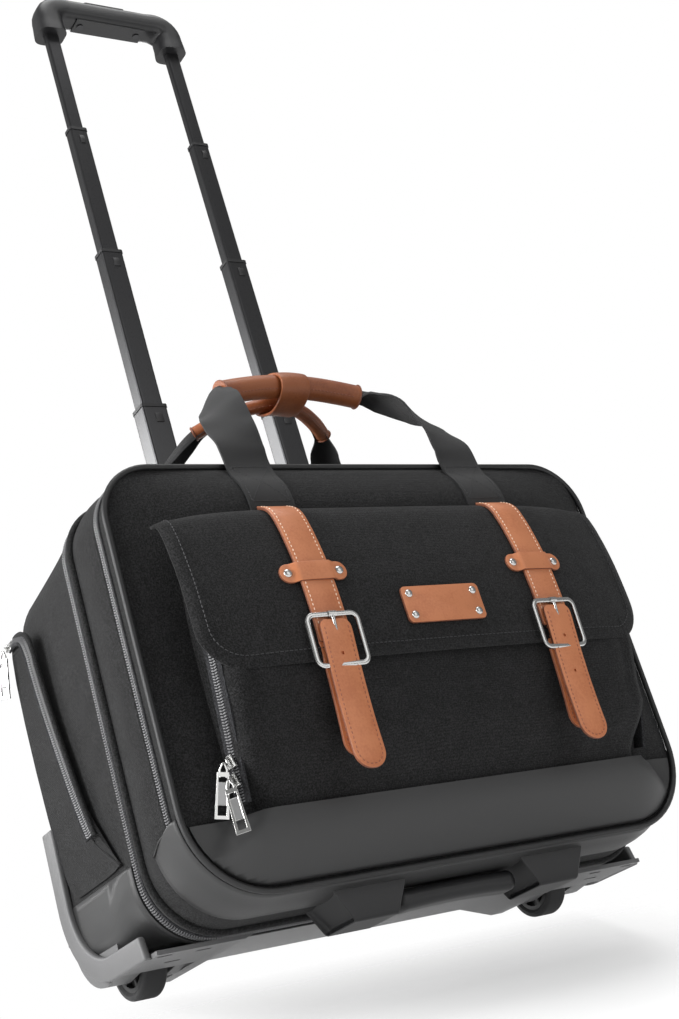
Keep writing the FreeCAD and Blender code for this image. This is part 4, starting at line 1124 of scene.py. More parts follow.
keepers, rivets = bmesh.new(), bmesh.new()
for x in (-STRAP_X, STRAP_X):
    keeper = centred(hide(KEEPER_WIDE, KEEPER_TALL, 0.0020, 0.0074, 0.0074, 0.0007), KEEPER_TALL)
    slice_up(keeper, "x", -KEEPER_WIDE / 2, KEEPER_WIDE / 2, 36)
    for v in keeper.verts:
        v.co.z += 0.0027 * ease((0.0185 - abs(v.co.x)) / 0.0060) + 0.0004
    on_flap(keeper, x, KEEPER_Z, 0.0)
    merge_into(keepers, keeper)
    for aside in (-0.0207, 0.0207):
        head = rivet()
        shift(head, (aside, 0, 0.0023))
        on_flap(head, x, KEEPER_Z, 0.0)
        merge_into(rivets, head)
leather_piece("strap_keepers", keepers, "pocket_flap", ["keepers"])

PLATE_LOW, PLATE_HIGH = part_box("label_plate")
PLATE_WIDE, PLATE_TALL = PLATE_HIGH.x - PLATE_LOW.x, PLATE_HIGH.z - PLATE_LOW.z
PLATE_Z = (PLATE_LOW.z + PLATE_HIGH.z) / 2
plate = centred(hide(PLATE_WIDE, PLATE_TALL, 0.0024, 0.0040, 0.0040, 0.0007), PLATE_TALL)
on_flap(plate, 0, PLATE_Z, 0.0006)
leather_piece("leather_plate", plate, "pocket_flap", ["label_plate"])
for aside in (-1, 1):
    for above in (-1, 1):
        head = rivet(0.0031)
        shift(head, (aside * (PLATE_WIDE / 2 - 0.0062), above * (PLATE_TALL / 2 - 0.0058), 0.0029))
        on_flap(head, 0, PLATE_Z, 0.0)
        merge_into(rivets, head)
new_piece("rivet_heads", rivets, "pocket_flap", NICKEL, ["rivets"], 50)

BUCKLE_LOW, BUCKLE_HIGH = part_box("buckles")
BUCKLE_Z = (BUCKLE_LOW.z + BUCKLE_HIGH.z) / 2
BUCKLE_WIDE, BUCKLE_TALL, WIRE = 0.044, BUCKLE_HIGH.z - BUCKLE_LOW.z, 0.0019
buckles = bmesh.new()
for x in (-STRAP_X, STRAP_X):
    loop = rectangle(BUCKLE_WIDE - 2 * WIRE, BUCKLE_TALL - 2 * WIRE)
    bmesh.ops.bevel(loop, geom=loop.verts[:], offset=0.0052, segments=7, affect="VERTICES", profile=0.5,
                    material=-1)
    path = [v.co.copy() for v in loop.faces[:][0].verts]
    loop.free()
    wire = tube_along("wire", path, WIRE, True, 4)
    for v in wire.verts:
        v.co.z = max(min(v.co.z, WIRE * 0.72), -WIRE * 0.72)
    prong = tube_along("prong", [Vector((0, BUCKLE_TALL / 2 - 0.0022, 0.0008)),
                                 Vector((0, BUCKLE_TALL / 2 - 0.0060, 0.0016)),
                                 Vector((0, 0.0060, 0.0012)), Vector((0, 0.0040, 0.0002))], 0.0013, False, 4)
    merge_into(wire, prong)
    cuff = tube_along("cuff", [Vector((-0.0030, BUCKLE_TALL / 2 - WIRE, 0)),
                               Vector((0.0030, BUCKLE_TALL / 2 - WIRE, 0))], 0.0026, False, 4)
    merge_into(wire, cuff)
    on_flap(wire, x, BUCKLE_Z, 0.0046)
    merge_into(buckles, wire)
new_piece("buckle_frames", buckles, "pocket_flap", NICKEL, ["buckles"], 40)

# --- Carry handles: webbing, leather grips and wrap -------------------------------------------------
# Each handle is one length of ribbed webbing box-stitched to the case, folded inside a stitched
# leather grip; a snapped leather wrap holds the two grips together above the case.


class Ribbon:
    """A strip in space: knots give its place, the way it faces, its width, thickness and curl."""

    def __init__(self, knots):
        self.line = smooth_line([Vector(k[0]) for k in knots], 90)
        self.line[0], self.line[-1] = Vector(knots[0][0]), Vector(knots[-1][0])
        self.marks = marks_of(self.line)
        self.length = self.marks[-1]
        self.knots = []
        for place, facing, width, thick, curl in knots:
            near = min(range(len(self.line)), key=lambda i: (self.line[i] - Vector(place)).length)
            self.knots.append((self.marks[near], Vector(facing), width, thick, curl))

    def held(self, along):
        for (m0, *first), (m1, *second) in zip(self.knots, self.knots[1:]):
            if along <= m1:
                t = ease((along - m0) / (m1 - m0))
                return [a.lerp(b, t) if isinstance(a, Vector) else a + (b - a) * t for a,
                        b in zip(first, second)]
        return list(self.knots[-1][1:])

    def lay(self, verts):
        """Move flat verts (x from -0.5 to 0.5 across, y along, z from 0 to 1 through) onto the strip."""
        for v in verts:
            along = min(max(v.co.y, 0), self.length)
            i = 0
            while i < len(self.marks) - 2 and self.marks[i + 1] < along:
                i += 1
            a, b = self.line[i], self.line[i + 1]
            t = (along - self.marks[i]) / (self.marks[i + 1] - self.marks[i])
            first = (self.line[i + 1] - self.line[max(i - 1, 0)]).normalized()
            last = (self.line[min(i + 2, len(self.line) - 1)] - self.line[i]).normalized()
            ahead = first.lerp(last, t).normalized()
            facing, width, thick, curl = self.held(along)
            out = (facing - ahead * facing.dot(ahead)).normalized()
            across = ahead.cross(out)
            x, z = v.co.x, v.co.z
            bow = curl * ((2 * x) ** 2 - 0.33) * width / 2
            v.co = a.lerp(b, t) + across * (x * width * (1 - 0.25 * abs(curl))) + out * (z * thick - bow)


def webbing_cloth():
    """Tight ribbed polyester webbing; the ribs run along the strip's own map."""
    material, tree, links, shader = basic("ribbed_webbing", (0.010, 0.010, 0.011), 0.62, Sheen_Weight=0.12,
                                          Specular_IOR_Level=0.3)
    ribs = tree.new("ShaderNodeTexWave")
    ribs.bands_direction = "X"
    give(ribs, Scale=9.0, Distortion=0.4)
    cross = tree.new("ShaderNodeTexWave")
    cross.bands_direction = "Y"
    give(cross, Scale=36.0, Distortion=0.6)
    where = tree.new("ShaderNodeUVMap")
    where.uv_map = "strip"
    links.new(where.outputs["UV"], ribs.inputs["Vector"])
    links.new(where.outputs["UV"], cross.inputs["Vector"])
    height = weighted(tree, links, ribs.outputs["Fac"], 0.7, cross.outputs["Fac"], 0.3)
    links.new(ramp(tree, links, height, [(0.15, (0.003, 0.003, 0.0033)), (0.85, (0.017, 0.017, 0.018))]),
              shader.inputs["Base Color"])
    bump(tree, links, shader, height, 0.5, 0.0005)
    return material


WEBBING = webbing_cloth()
WEB_X, WEB_WIDE, WEB_THICK = 0.099, 0.038, 0.0018


def web_strip(name, knots):
    """One leg of webbing, flat woven then laid along its knots."""
    ribbon = Ribbon(knots)
    bm = block((1.0, ribbon.length, 1.0))
    shift(bm, (0, ribbon.length / 2, 0.5))
    edges = [e for e in bm.edges if abs(e.verts[0].co.y - e.verts[1].co.y) > ribbon.length / 2]
    round_edges(bm, edges, 0.02, 2)
    slice_up(bm, "x", -0.5, 0.5, 8)
    slice_up(bm, "y", 0, ribbon.length, 44)
    chart = bm.loops.layers.uv.new("strip")
    for f in bm.faces:
        for loop in f.loops:
            loop[chart].uv = (loop.vert.co.x * 2.0, loop.vert.co.y * 10.0)
    ribbon.lay(bm.verts)
    item = new_piece(name, bm, None, WEBBING, ["handle_webbing"], 50)
    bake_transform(item)
    return ribbon


for name, side in (("left", -1), ("right", 1)):
    def knot(x, y, z, facing, width=WEB_WIDE, thick=WEB_THICK, curl=0.0):
        return ((side * x, y, z), (side * facing[0], facing[1], facing[2]), width, thick, curl)

    front = [knot(WEB_X, lid_face(WEB_X, 0.281), 0.281, (0, -1, 0.2)),
             knot(WEB_X, lid_face(WEB_X, 0.296), 0.296, (0, -1, 0.4)),
             knot(WEB_X, lid_face(WEB_X, 0.310), 0.310, (0, -1, 0.5)),
             knot(WEB_X, lid_face(WEB_X, 0.323) - 0.0003, 0.323, (0, -1, 0.9)),
             knot(WEB_X, -0.0735, 0.3355, (0, -1, 0.6)),
             knot(0.0990, -0.0722, 0.3480, (0.05, -1, 0.1)),
             knot(0.0960, -0.0610, 0.3740, (0.40, -1, 0)),
             knot(0.0870, -0.0440, 0.4000, (0.75, -0.7, 0.1), 0.037, 0.0018, 0.05),
             knot(0.0770, -0.0290, 0.4180, (0.8, -0.5, 0.4), 0.030, 0.0022, 0.35),
             knot(0.0650, -0.0195, 0.4275, (0.4, -0.4, 0.8), 0.017, 0.0030, 0.8),
             knot(0.0400, -0.0185, 0.4320, (0.1, -0.2, 1), 0.012, 0.0030, 0.9)]
    ribbon = web_strip("webbing_front_" + name, front)
    corner = [Vector((-0.42, 0.013, 1)), Vector((0.42, 0.013, 1)), Vector((0.42, 0.052, 1)),
              Vector((-0.42, 0.052, 1))]
    rows = [corner + corner[:1], [corner[0], corner[2]], [corner[1], corner[3]]]
    box_stitch = bmesh.new()
    for run in rows:
        for a, b in zip(run, run[1:]):
            count = max(2, round(Vector(((a.x - b.x) * WEB_WIDE, a.y - b.y)).length / 0.003))
            for i in range(count):
                place = a.lerp(b, (i + 0.5) / count)
                turn = math.atan2(b.y - a.y, (b.x - a.x) * WEB_WIDE)
                one = block((0.0022, 0.0007, 0.0005), 0.6)
                bmesh.ops.rotate(one, matrix=Matrix.Rotation(turn, 3, "Z"), verts=one.verts)
                for v in one.verts:
                    v.co = Vector((place.x + v.co.x / WEB_WIDE, place.y + v.co.y, 1.05 + v.co.z / WEB_THICK))
                merge_into(box_stitch, one)
    ribbon.lay(box_stitch.verts)
    new_piece("webbing_box_stitch_" + name, box_stitch, "case", THREAD, [], 30)
    back = [knot(WEB_X, 0.1235, 0.3130, (0, 1, 0)),
            knot(WEB_X, 0.1235, 0.3260, (0, 1, 0)),
            knot(0.0985, 0.1190, 0.3420, (0, 1, 0.4)),
            knot(0.0950, 0.1040, 0.3660, (0.2, 0.8, 0.6)),
            knot(0.0850, 0.0790, 0.3920, (0.4, 0.6, 0.7), 0.036, 0.0018, 0.1),
            knot(0.0720, 0.0530, 0.4110, (0.5, 0.3, 0.8), 0.028, 0.0024, 0.5),
            knot(0.0590, 0.0340, 0.4215, (0.3, 0.1, 1), 0.014, 0.0030, 0.9),
            knot(0.0450, 0.0220, 0.4260, (0, 0, 1), 0.011, 0.0030, 0.9)]
    web_strip("webbing_back_" + name, back)

FRONT_GRIP = [Vector(p) for p in ((-0.066, -0.0190, 0.4265), (-0.045, -0.0180, 0.4310),
                                  (-0.020, -0.0175, 0.4345), (0.0, -0.0175, 0.4352),
                                  (0.020, -0.0175, 0.4345), (0.045, -0.0180, 0.4310), (0.066, -0.0190, 0.4265))]
BACK_GRIP = [Vector(p) for p in ((-0.0640, 0.0370, 0.4205), (-0.045, 0.0215, 0.4260), (-0.020, 0.0080, 0.4300),
                                 (0.0, 0.0045, 0.4310),
                                 (0.020, 0.0080, 0.4300), (0.045, 0.0215, 0.4260), (0.0640, 0.0370, 0.4205))]


def grip(name, points, node, radius, flat):
    """A leather sleeve sewn shut along its underside, open at both ends."""
    line = smooth_line(points, 40)
    line[0], line[-1] = points[0], points[-1]
    bm = tube_along(name, line, radius, False, 6)
    for v in bm.verts:
        near = min(line, key=lambda p: (p - v.co).length)
        off = v.co - near
        off.z *= flat
        v.co = near + off
    new_piece(name, bm, "carry_handles", GRIP_TAN, [node], 60)
    rims = bmesh.new()
    for end, after in ((line[0], line[1]), (line[-1], line[-2])):
        ahead = (end - after).normalized()
        up = Vector((0, 0, 1))
        across = ahead.cross(up).normalized()
        ring = [end - ahead * 0.0010
                + (across * math.cos(a) + across.cross(ahead) * math.sin(a) * flat) * (radius + 0.0002)
                for a in [2 * math.pi * i / 24 for i in range(24)]]
        merge_into(rims, tube_along("rim", ring, 0.0006, True, 3))
    new_piece(name + "_rims", rims, "carry_handles", TAN_EDGE, [], 60)
    seam = [p + Vector((0, -radius * 0.82, -radius * flat * 0.62)) for p in line[2:-2]]
    stitch = repeated(block((0.0022, 0.0008, 0.0007), 0.6, 0.00015),
                      frames_along(walk(seam, 0.0034, False), lambda place: Vector((0, -0.8, -0.6))))
    new_piece(name + "_stitching", stitch, "carry_handles", RUST_THREAD, [], 30)


grip("carry_grip_front", FRONT_GRIP, "front_grip", 0.0098, 1.0)
grip("carry_grip_back", BACK_GRIP, "rear_grip", 0.0066, 0.85)

WRAP_LOW, WRAP_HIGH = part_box("handle_wrap")
wrap = bmesh.new()
bmesh.ops.create_circle(wrap, segments=48, radius=1.0)
for v in wrap.verts:
    angle = math.atan2(v.co.y, v.co.x)
    reach = (0.0255 if math.cos(angle) < 0 else 0.0225)
    v.co = Vector((WRAP_LOW.x, -0.0055 + reach * math.cos(angle) * 0.94,
                   0.4330 + 0.0128 * math.sin(angle) * (1.06 - 0.25 * max(math.cos(angle), 0))))
ring_edges = wrap.edges[:]
grown = ring_edges
steps = 6
for i in range(steps):
    made = bmesh.ops.extrude_edge_only(wrap, edges=grown)["geom"]
    grown = [g for g in made if isinstance(g, bmesh.types.BMEdge) and all(v in made for v in g.verts)]
    moved = [g for g in made if isinstance(g, bmesh.types.BMVert)]
    bmesh.ops.translate(wrap, vec=((WRAP_HIGH.x - WRAP_LOW.x) / steps, 0, 0), verts=moved)
for v in wrap.verts:
    v.co.z += 0.0010 * (1 - (v.co.x / WRAP_HIGH.x) ** 2)
wrap_item = new_piece("leather_wrap", wrap, "carry_handles", GRIP_TAN, ["handle_wrap"], 60)
add_modifier(wrap_item, "SOLIDIFY", thickness=0.0022, offset=1)
add_modifier(wrap_item, "BEVEL", width=0.0006, segments=2)

# --- Telescopic trolley: tubes, collars and grip ------------------------------------------------------
# Black anodised oval tubes slide in each other; a moulded collar guides the top of each stage and
# a spring catch looks out of a window below it. The moulded grip holds the release button.

TUBE_METAL = grain(basic("black_anodised", (0.050, 0.050, 0.052), 0.3, Metallic=0.9, Coat_Weight=0.3,
                         Coat_Roughness=0.12),
                   1600, 0.08, 0.0001, 0.24, 0.34)
MOULDED = grain(basic("moulded_grip", (0.012, 0.012, 0.013), 0.36, Specular_IOR_Level=0.5), 2200, 0.25, 0.0002,
                0.30, 0.42)
COLLAR_PLASTIC = grain(basic("collar_plastic", (0.010, 0.010, 0.011), 0.42), 1800, 0.2, 0.0002, 0.36, 0.50)


def finish_node(node, material):
    """Give a carried-over hard part its finish."""
    item = bpy.data.objects[node]
    item.data.materials.clear()
    item.data.materials.append(material)


for stage, body in (("one", "trolley_grip"), ("two", "stage_two"), ("three", "stage_three"),
                    ("four", "stage_four")):
    finish_node(f"stage_{stage}_tubes", TUBE_METAL)
    if stage == "one":
        continue
    finish_node(f"stage_{stage}_collars", COLLAR_PLASTIC)
    low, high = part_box(f"stage_{stage}_collars")
    tube_low, tube_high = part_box(f"stage_{stage}_tubes")
    tube_wide = (tube_high.x - TROLLEY_X) * 2
    windows = bmesh.new()
    for side in (-1, 1):
        catch = block((tube_wide * 0.30, 0.0012, 0.0085), 1.0, 0.0004)
        shift(catch, (side * TROLLEY_X + tube_wide * 0.08, tube_low.y - 0.0001, high.z - 0.0135))
        merge_into(windows, catch)
    new_piece(f"stage_{stage}_catches", windows, body, COLLAR_PLASTIC, [], 40)
finish_node("trolley_outer_tubes", TUBE_METAL)
finish_node("trolley_bezel", COLLAR_PLASTIC)

GRIP_LOW, GRIP_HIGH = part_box("grip_shell")
grip_middle = (GRIP_LOW.y + GRIP_HIGH.y) / 2
path = [Vector((-0.0640, 0, GRIP_LOW.z)), Vector((-0.0640, 0, GRIP_LOW.z + 0.012)),
        Vector((-0.0625, 0, GRIP_LOW.z + 0.0235)), Vector((-0.0545, 0, GRIP_HIGH.z - 0.0120)),
        Vector((-0.0380, 0, GRIP_HIGH.z - 0.0112)), Vector((0, 0, GRIP_HIGH.z - 0.0110))]
path += [Vector((-p.x, 0, p.z)) for p in reversed(path[:-1])]
girths = [(0.0280, 0.0255), (0.0262, 0.0250), (0.0250, 0.0252), (0.0235, 0.0258), (0.0222, 0.0250),
          (0.0220, 0.0246)]
girths += girths[:-1][::-1]
bar = Ribbon([((p.x, 0, p.z), (0, -1, 0), g[0], 1.0, 0.0) for p, g in zip(path, girths)])
profile_depths = Ribbon([((p.x, 0, p.z), (0, -1, 0), g[1], 1.0, 0.0) for p, g in zip(path, girths)])
section = block((1.0, bar.length, 1.0))
shift(section, (0, bar.length / 2, 0))
long_edges = [e for e in section.edges if abs(e.verts[0].co.y - e.verts[1].co.y) > bar.length / 2]
round_edges(section, long_edges, 0.33, 6)
slice_up(section, "y", 0, bar.length, 60)
for v in section.verts:
    depth = profile_depths.held(min(max(v.co.y, 0), bar.length))[1]
    v.co.z *= depth
bar.lay(section.verts)
shift(section, (0, grip_middle, 0))
grip_item = new_piece("trolley_grip_shell", section, "trolley_grip", MOULDED, ["grip_shell"],
                      50)
add_modifier(grip_item, "BEVEL", width=0.0015, segments=3, limit_method="ANGLE", angle_limit=math.radians(50))

finish_node("grip_underside", MOULDED)
finish_node("release_button", MOULDED)
finish_node("grip_screws", grain(basic("black_screws", (0.06, 0.06, 0.062), 0.35, Metallic=0.9), 1200, 0.1,
                                 0.0001, 0.3, 0.42))

# --- Back board and laptop sleeve inside --------------------------------------------------------------
# A stiff fibre board behind the main compartment carries the trolley; in front of it a padded
# sleeve of smooth lining cloth holds the laptop. Both stay inside the closed case.

LINING = grain(basic("lining_cloth", (0.030, 0.030, 0.032), 0.8), 1400, 0.4, 0.0003, 0.72, 0.88)
finish_node("laptop_sleeve", LINING)
finish_node("back_board", grain(basic("fibre_board", (0.022, 0.021, 0.020), 0.7), 700, 0.3, 0.0003, 0.62, 0.80))

# --- Wheels, housings, bumpers, feet and grab bar -----------------------------------------------------
# Rubber tyres on spoked nylon hubs run on steel bolts in moulded housings; each housing carries a
# bumper up the rear corner and along the side. Two moulded feet hold the front off the ground.

BUMPER = grain(basic("moulded_bumper", (0.135, 0.135, 0.137), 0.5, Specular_IOR_Level=0.45), 1500, 0.35, 0.0003,
               0.44, 0.58)
RUBBER = grain(basic("wheel_rubber", (0.022, 0.022, 0.023), 0.62), 900, 0.3, 0.0003, 0.55, 0.72)
HUB = grain(basic("nylon_hub", (0.045, 0.045, 0.046), 0.42), 1200, 0.2, 0.0002, 0.36, 0.5)
STEEL = grain(basic("zinc_steel", (0.52, 0.52, 0.53), 0.32, Metallic=1.0), 900, 0.12, 0.0001, 0.26, 0.40)
for side in ("left", "right"):
    finish_node("tyre_" + side, RUBBER)
    finish_node("hub_" + side, HUB)
finish_node("axles", STEEL)


def turned_block(low, high, edges, radius, segments=10):
    """A block with some edges rounded: edges is a test on an edge's two ends."""
    bm = block(tuple(high - low))
    shift(bm, (low + high) / 2)
    picked = [e for e in bm.edges if edges(e.verts[0].co, e.verts[1].co)]
    round_edges(bm, picked, radius, segments)
    return bm


def mirrored(bm):
    """The same shape on the other side of the middle."""
    bmesh.ops.scale(bm, vec=(-1, 1, 1), verts=bm.verts)
    bmesh.ops.reverse_faces(bm, faces=bm.faces[:])
    return bm


def spokes(side):
    """Six ribs on each face of a hub, between its boss and its rim."""
    low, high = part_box("tyre_" + side)
    middle = (low + high) / 2
    frames = []
    for face in (-1, 1):
        for i in range(6):
            a = math.pi / 3 * i + 0.3
            ray, turn = Vector((0, math.cos(a), math.sin(a))), Vector((0, -math.sin(a), math.cos(a)))
            axes = Matrix((ray, turn, ray.cross(turn))).transposed().to_4x4()
            frames.append(Matrix.Translation(middle + ray * 0.0118 + Vector((face * 0.0052, 0, 0))) @ axes)
    new_piece("spokes_" + side, repeated(block((0.0116, 0.0032, 0.0048), 1.0, 0.0006), frames), "wheel_" + side,
              HUB, [], 40)


for side in ("left", "right"):
    spokes(side)

HOUSE_LOW, HOUSE_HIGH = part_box("wheel_housing_right")
ARM = 0.0165
SWEEP = 0.064
HOUSE_LONG = 0.069


arm_middle = Vector((HOUSE_HIGH.x - 0.0026, HOUSE_HIGH.y - SWEEP, HOUSE_LOW.z + SWEEP))
SLOT_LOW, SLOT_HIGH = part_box("tyre_right")


def arm_edge(radius, top, end):
    """One edge of the bumper arm: down the rear corner, round it and forward to the arm's end."""
    turns = [math.pi / 2 * i / 18 for i in range(19)]
    round_it = [(arm_middle.y + math.cos(a) * radius, arm_middle.z - math.sin(a) * radius) for a in turns]
    return [(arm_middle.y + radius, top)] + round_it + [(end, arm_middle.z - radius)]


def bumper_arm():
    """The arm: one moulded rail of even width with its rims rounded over."""
    edge = arm_edge(SWEEP, HOUSE_HIGH.z, HOUSE_LOW.y + 0.0005)
    edge += arm_edge(SWEEP - ARM, HOUSE_HIGH.z, HOUSE_LOW.y + 0.0040)[::-1]
    bm = bmesh.new()
    rims = [[bm.verts.new((arm_middle.x + push, y, z)) for y, z in edge] for push in (-0.0028, 0.0028)]
    bm.faces.new(rims[0])
    bm.faces.new(rims[1][::-1])
    for i in range(len(edge)):
        j = (i + 1) % len(edge)
        bm.faces.new((rims[0][j], rims[0][i], rims[1][i], rims[1][j]))
    bmesh.ops.recalc_face_normals(bm, faces=bm.faces[:])
    sharp = [e for e in bm.edges if e.calc_face_angle(0) > 0.7]
    round_edges(bm, sharp, 0.0019, 4)
    return bm


def housing(side):
    rail = bumper_arm()
    shell = turned_block(Vector((HOUSE_LOW.x, HOUSE_HIGH.y - HOUSE_LONG, HOUSE_LOW.z)),
                         Vector((HALF - 0.001, HOUSE_HIGH.y, 0.060)),
                         lambda a, b: a.y > 0.1 and b.y > 0.1 and a.z < 0.02 and b.z < 0.02, 0.040, 12)
    for v in shell.verts:
        if v.co.y < HOUSE_HIGH.y - 0.068 and v.co.z < 0.02:
            v.co.z += 0.004
    guard = turned_block(Vector((HOUSE_LOW.x + 0.030, HOUSE_HIGH.y - 0.0040, 0.050)),
                         Vector((HALF + 0.0024, HOUSE_HIGH.y - 0.0006, HOUSE_HIGH.z - 0.0005)),
                         lambda a, b: abs(a.y - b.y) > 0.002 and a.z > 0.1 and a.x < 0.2, 0.018, 8)
    merge_into(rail, guard)
    if side == "left":
        shell, rail = mirrored(shell), mirrored(rail)
    new_piece("bumper_" + side, rail, "case", BUMPER, ["wheel_housing_" + side], 40)
    box = new_piece("wheel_box_" + side, shell, "case", BUMPER, [], 40)
    sign = -1 if side == "left" else 1
    ends = sorted((sign * (SLOT_LOW.x - 0.0035), sign * (SLOT_HIGH.x + 0.0035)))
    carve(box, Vector((ends[0], SLOT_LOW.y - 0.0045, -0.02)), Vector((ends[1], HOUSE_HIGH.y - 0.0032, 0.0555)),
          0.0)


for side in ("left", "right"):
    housing(side)


def base_plate():
    """The moulded plate under the case, with slots that drain and lighten it."""
    house_in, house_front = HOUSE_LOW.x, HOUSE_HIGH.y - HOUSE_LONG
    slots = []
    for sign in (-1, 1):
        for x, y, long, wide in ((0.2100, 0.0110, 0.0120, 0.0042), (0.1925, 0.0365, 0.0120, 0.0042),
                                 (0.1790, 0.0150, 0.0115, 0.0042)):
            slots.append((sign * x - long / 2, sign * x + long / 2, y - wide / 2, y + wide / 2))
    bm = bmesh.new()
    bmesh.ops.create_grid(bm, x_segments=1, y_segments=1, size=0.5)
    low_y, high_y, wide = 0.0040, HOUSE_HIGH.y - 0.0040, HALF - 0.0006
    for v in bm.verts:
        v.co = Vector((v.co.x * 2 * wide, low_y + (v.co.y + 0.5) * (high_y - low_y), 0))
    xs = sorted({x for s in slots for x in s[:2]} | {-house_in, house_in, -0.152, 0.152, -0.122, 0.122})
    ys = sorted({y for s in slots for y in s[2:]} | {house_front})
    for axis, cuts in (("x", xs), ("y", ys)):
        for mark in cuts:
            normal = Vector((axis == "x", axis == "y", 0))
            cut(bm, normal * mark, normal)
    gone = []
    for f in bm.faces:
        c = f.calc_center_median()
        in_slot = any(s[0] < c.x < s[1] and s[2] < c.y < s[3] for s in slots)
        if in_slot or (abs(c.x) > house_in and c.y > house_front):
            gone.append(f)
    bmesh.ops.delete(bm, geom=gone, context="FACES")
    bmesh.ops.solidify(bm, geom=bm.faces[:], thickness=0.0032)
    shift(bm, (0, 0, HOUSE_LOW.z + 0.0004 - min(v.co.z for v in bm.verts)))
    for v in bm.verts:
        v.co.z += 0.0095 * ease((0.152 - abs(v.co.x)) / 0.030)
    item = new_piece("moulded_base_plate", bm, "case", BUMPER, ["base_tray"], 40)
    add_modifier(item, "BEVEL", width=0.0009, segments=2, limit_method="ANGLE", angle_limit=math.radians(50))


base_plate()


FOOT = grain(basic("moulded_foot", (0.016, 0.016, 0.017), 0.42), 1500, 0.3, 0.0003, 0.36, 0.50)


def foot(name):
    """A moulded foot: broad at the case, narrow at the sole, hollowed at both ends."""
    low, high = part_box(name)
    middle_x = (low.x + high.x) / 2
    bm = block(tuple(high - low))
    shift(bm, (0, (low.y + high.y) / 2, (low.z + high.z) / 2))
    for v in bm.verts:
        if v.co.z < 0.01:
            v.co.x *= 0.57
            v.co.y = (low.y + high.y) / 2 + (v.co.y - (low.y + high.y) / 2) * 0.90
    ends = [f for f in bm.faces if abs(f.normal.x) > 0.5]
    for f in ends:
        bmesh.ops.inset_region(bm, faces=[f], thickness=0.0035, depth=0.0)
        bmesh.ops.translate(bm, vec=(-0.004 if f.normal.x > 0 else 0.004, 0, 0.001), verts=f.verts[:])
    shift(bm, (middle_x, 0, 0))
    item = new_piece(name + "_moulding", bm, "case", FOOT, [name], 30)
    add_modifier(item, "BEVEL", width=0.0022, segments=4)


foot("foot_left")
foot("foot_right")

BAR_LOW, BAR_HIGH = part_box("grab_bar")
bar_piece = block((BAR_HIGH.x - BAR_LOW.x - 0.012, 0.0215, 0.0150))
slice_up(bar_piece, "x", BAR_LOW.x + 0.006, BAR_HIGH.x - 0.006, 16)
for v in bar_piece.verts:
    v.co.z += 0.0022 * math.cos(v.co.x / BAR_HIGH.x * math.pi / 2) * (1 if v.co.z < 0 else 0.4)
shift(bar_piece, (0, (BAR_LOW.y + BAR_HIGH.y) / 2, (BAR_LOW.z + BAR_HIGH.z) / 2 + 0.0012))
bar_item = new_piece("grab_bar_moulding", bar_piece, "case", FOOT, ["grab_bar"], 30)
add_modifier(bar_item, "BEVEL", width=0.0058, segments=6, limit_method="ANGLE", angle_limit=math.radians(40))

# --- Side pockets -------------------------------------------------------------------------------------
# A puffed canvas pocket on each side behind the gusset; its coil zipper runs round the top and
# down the front edge between a welt and a fold, to the seam of the coated side.

SIDE_OUTLINE = [(0.1150, 0.2795), (0.0930, 0.2800), (0.0790, 0.2770), (0.0715, 0.2640),
                (0.0690, 0.2430), (0.0640, 0.2130), (0.0560, 0.1740), (0.0460, 0.1310),
                (0.0380, 0.1050), (0.0270, 0.0880), (0.0170, 0.0768), (0.0580, 0.0768),
                (0.0900, 0.0768), (0.1150, 0.0768)]


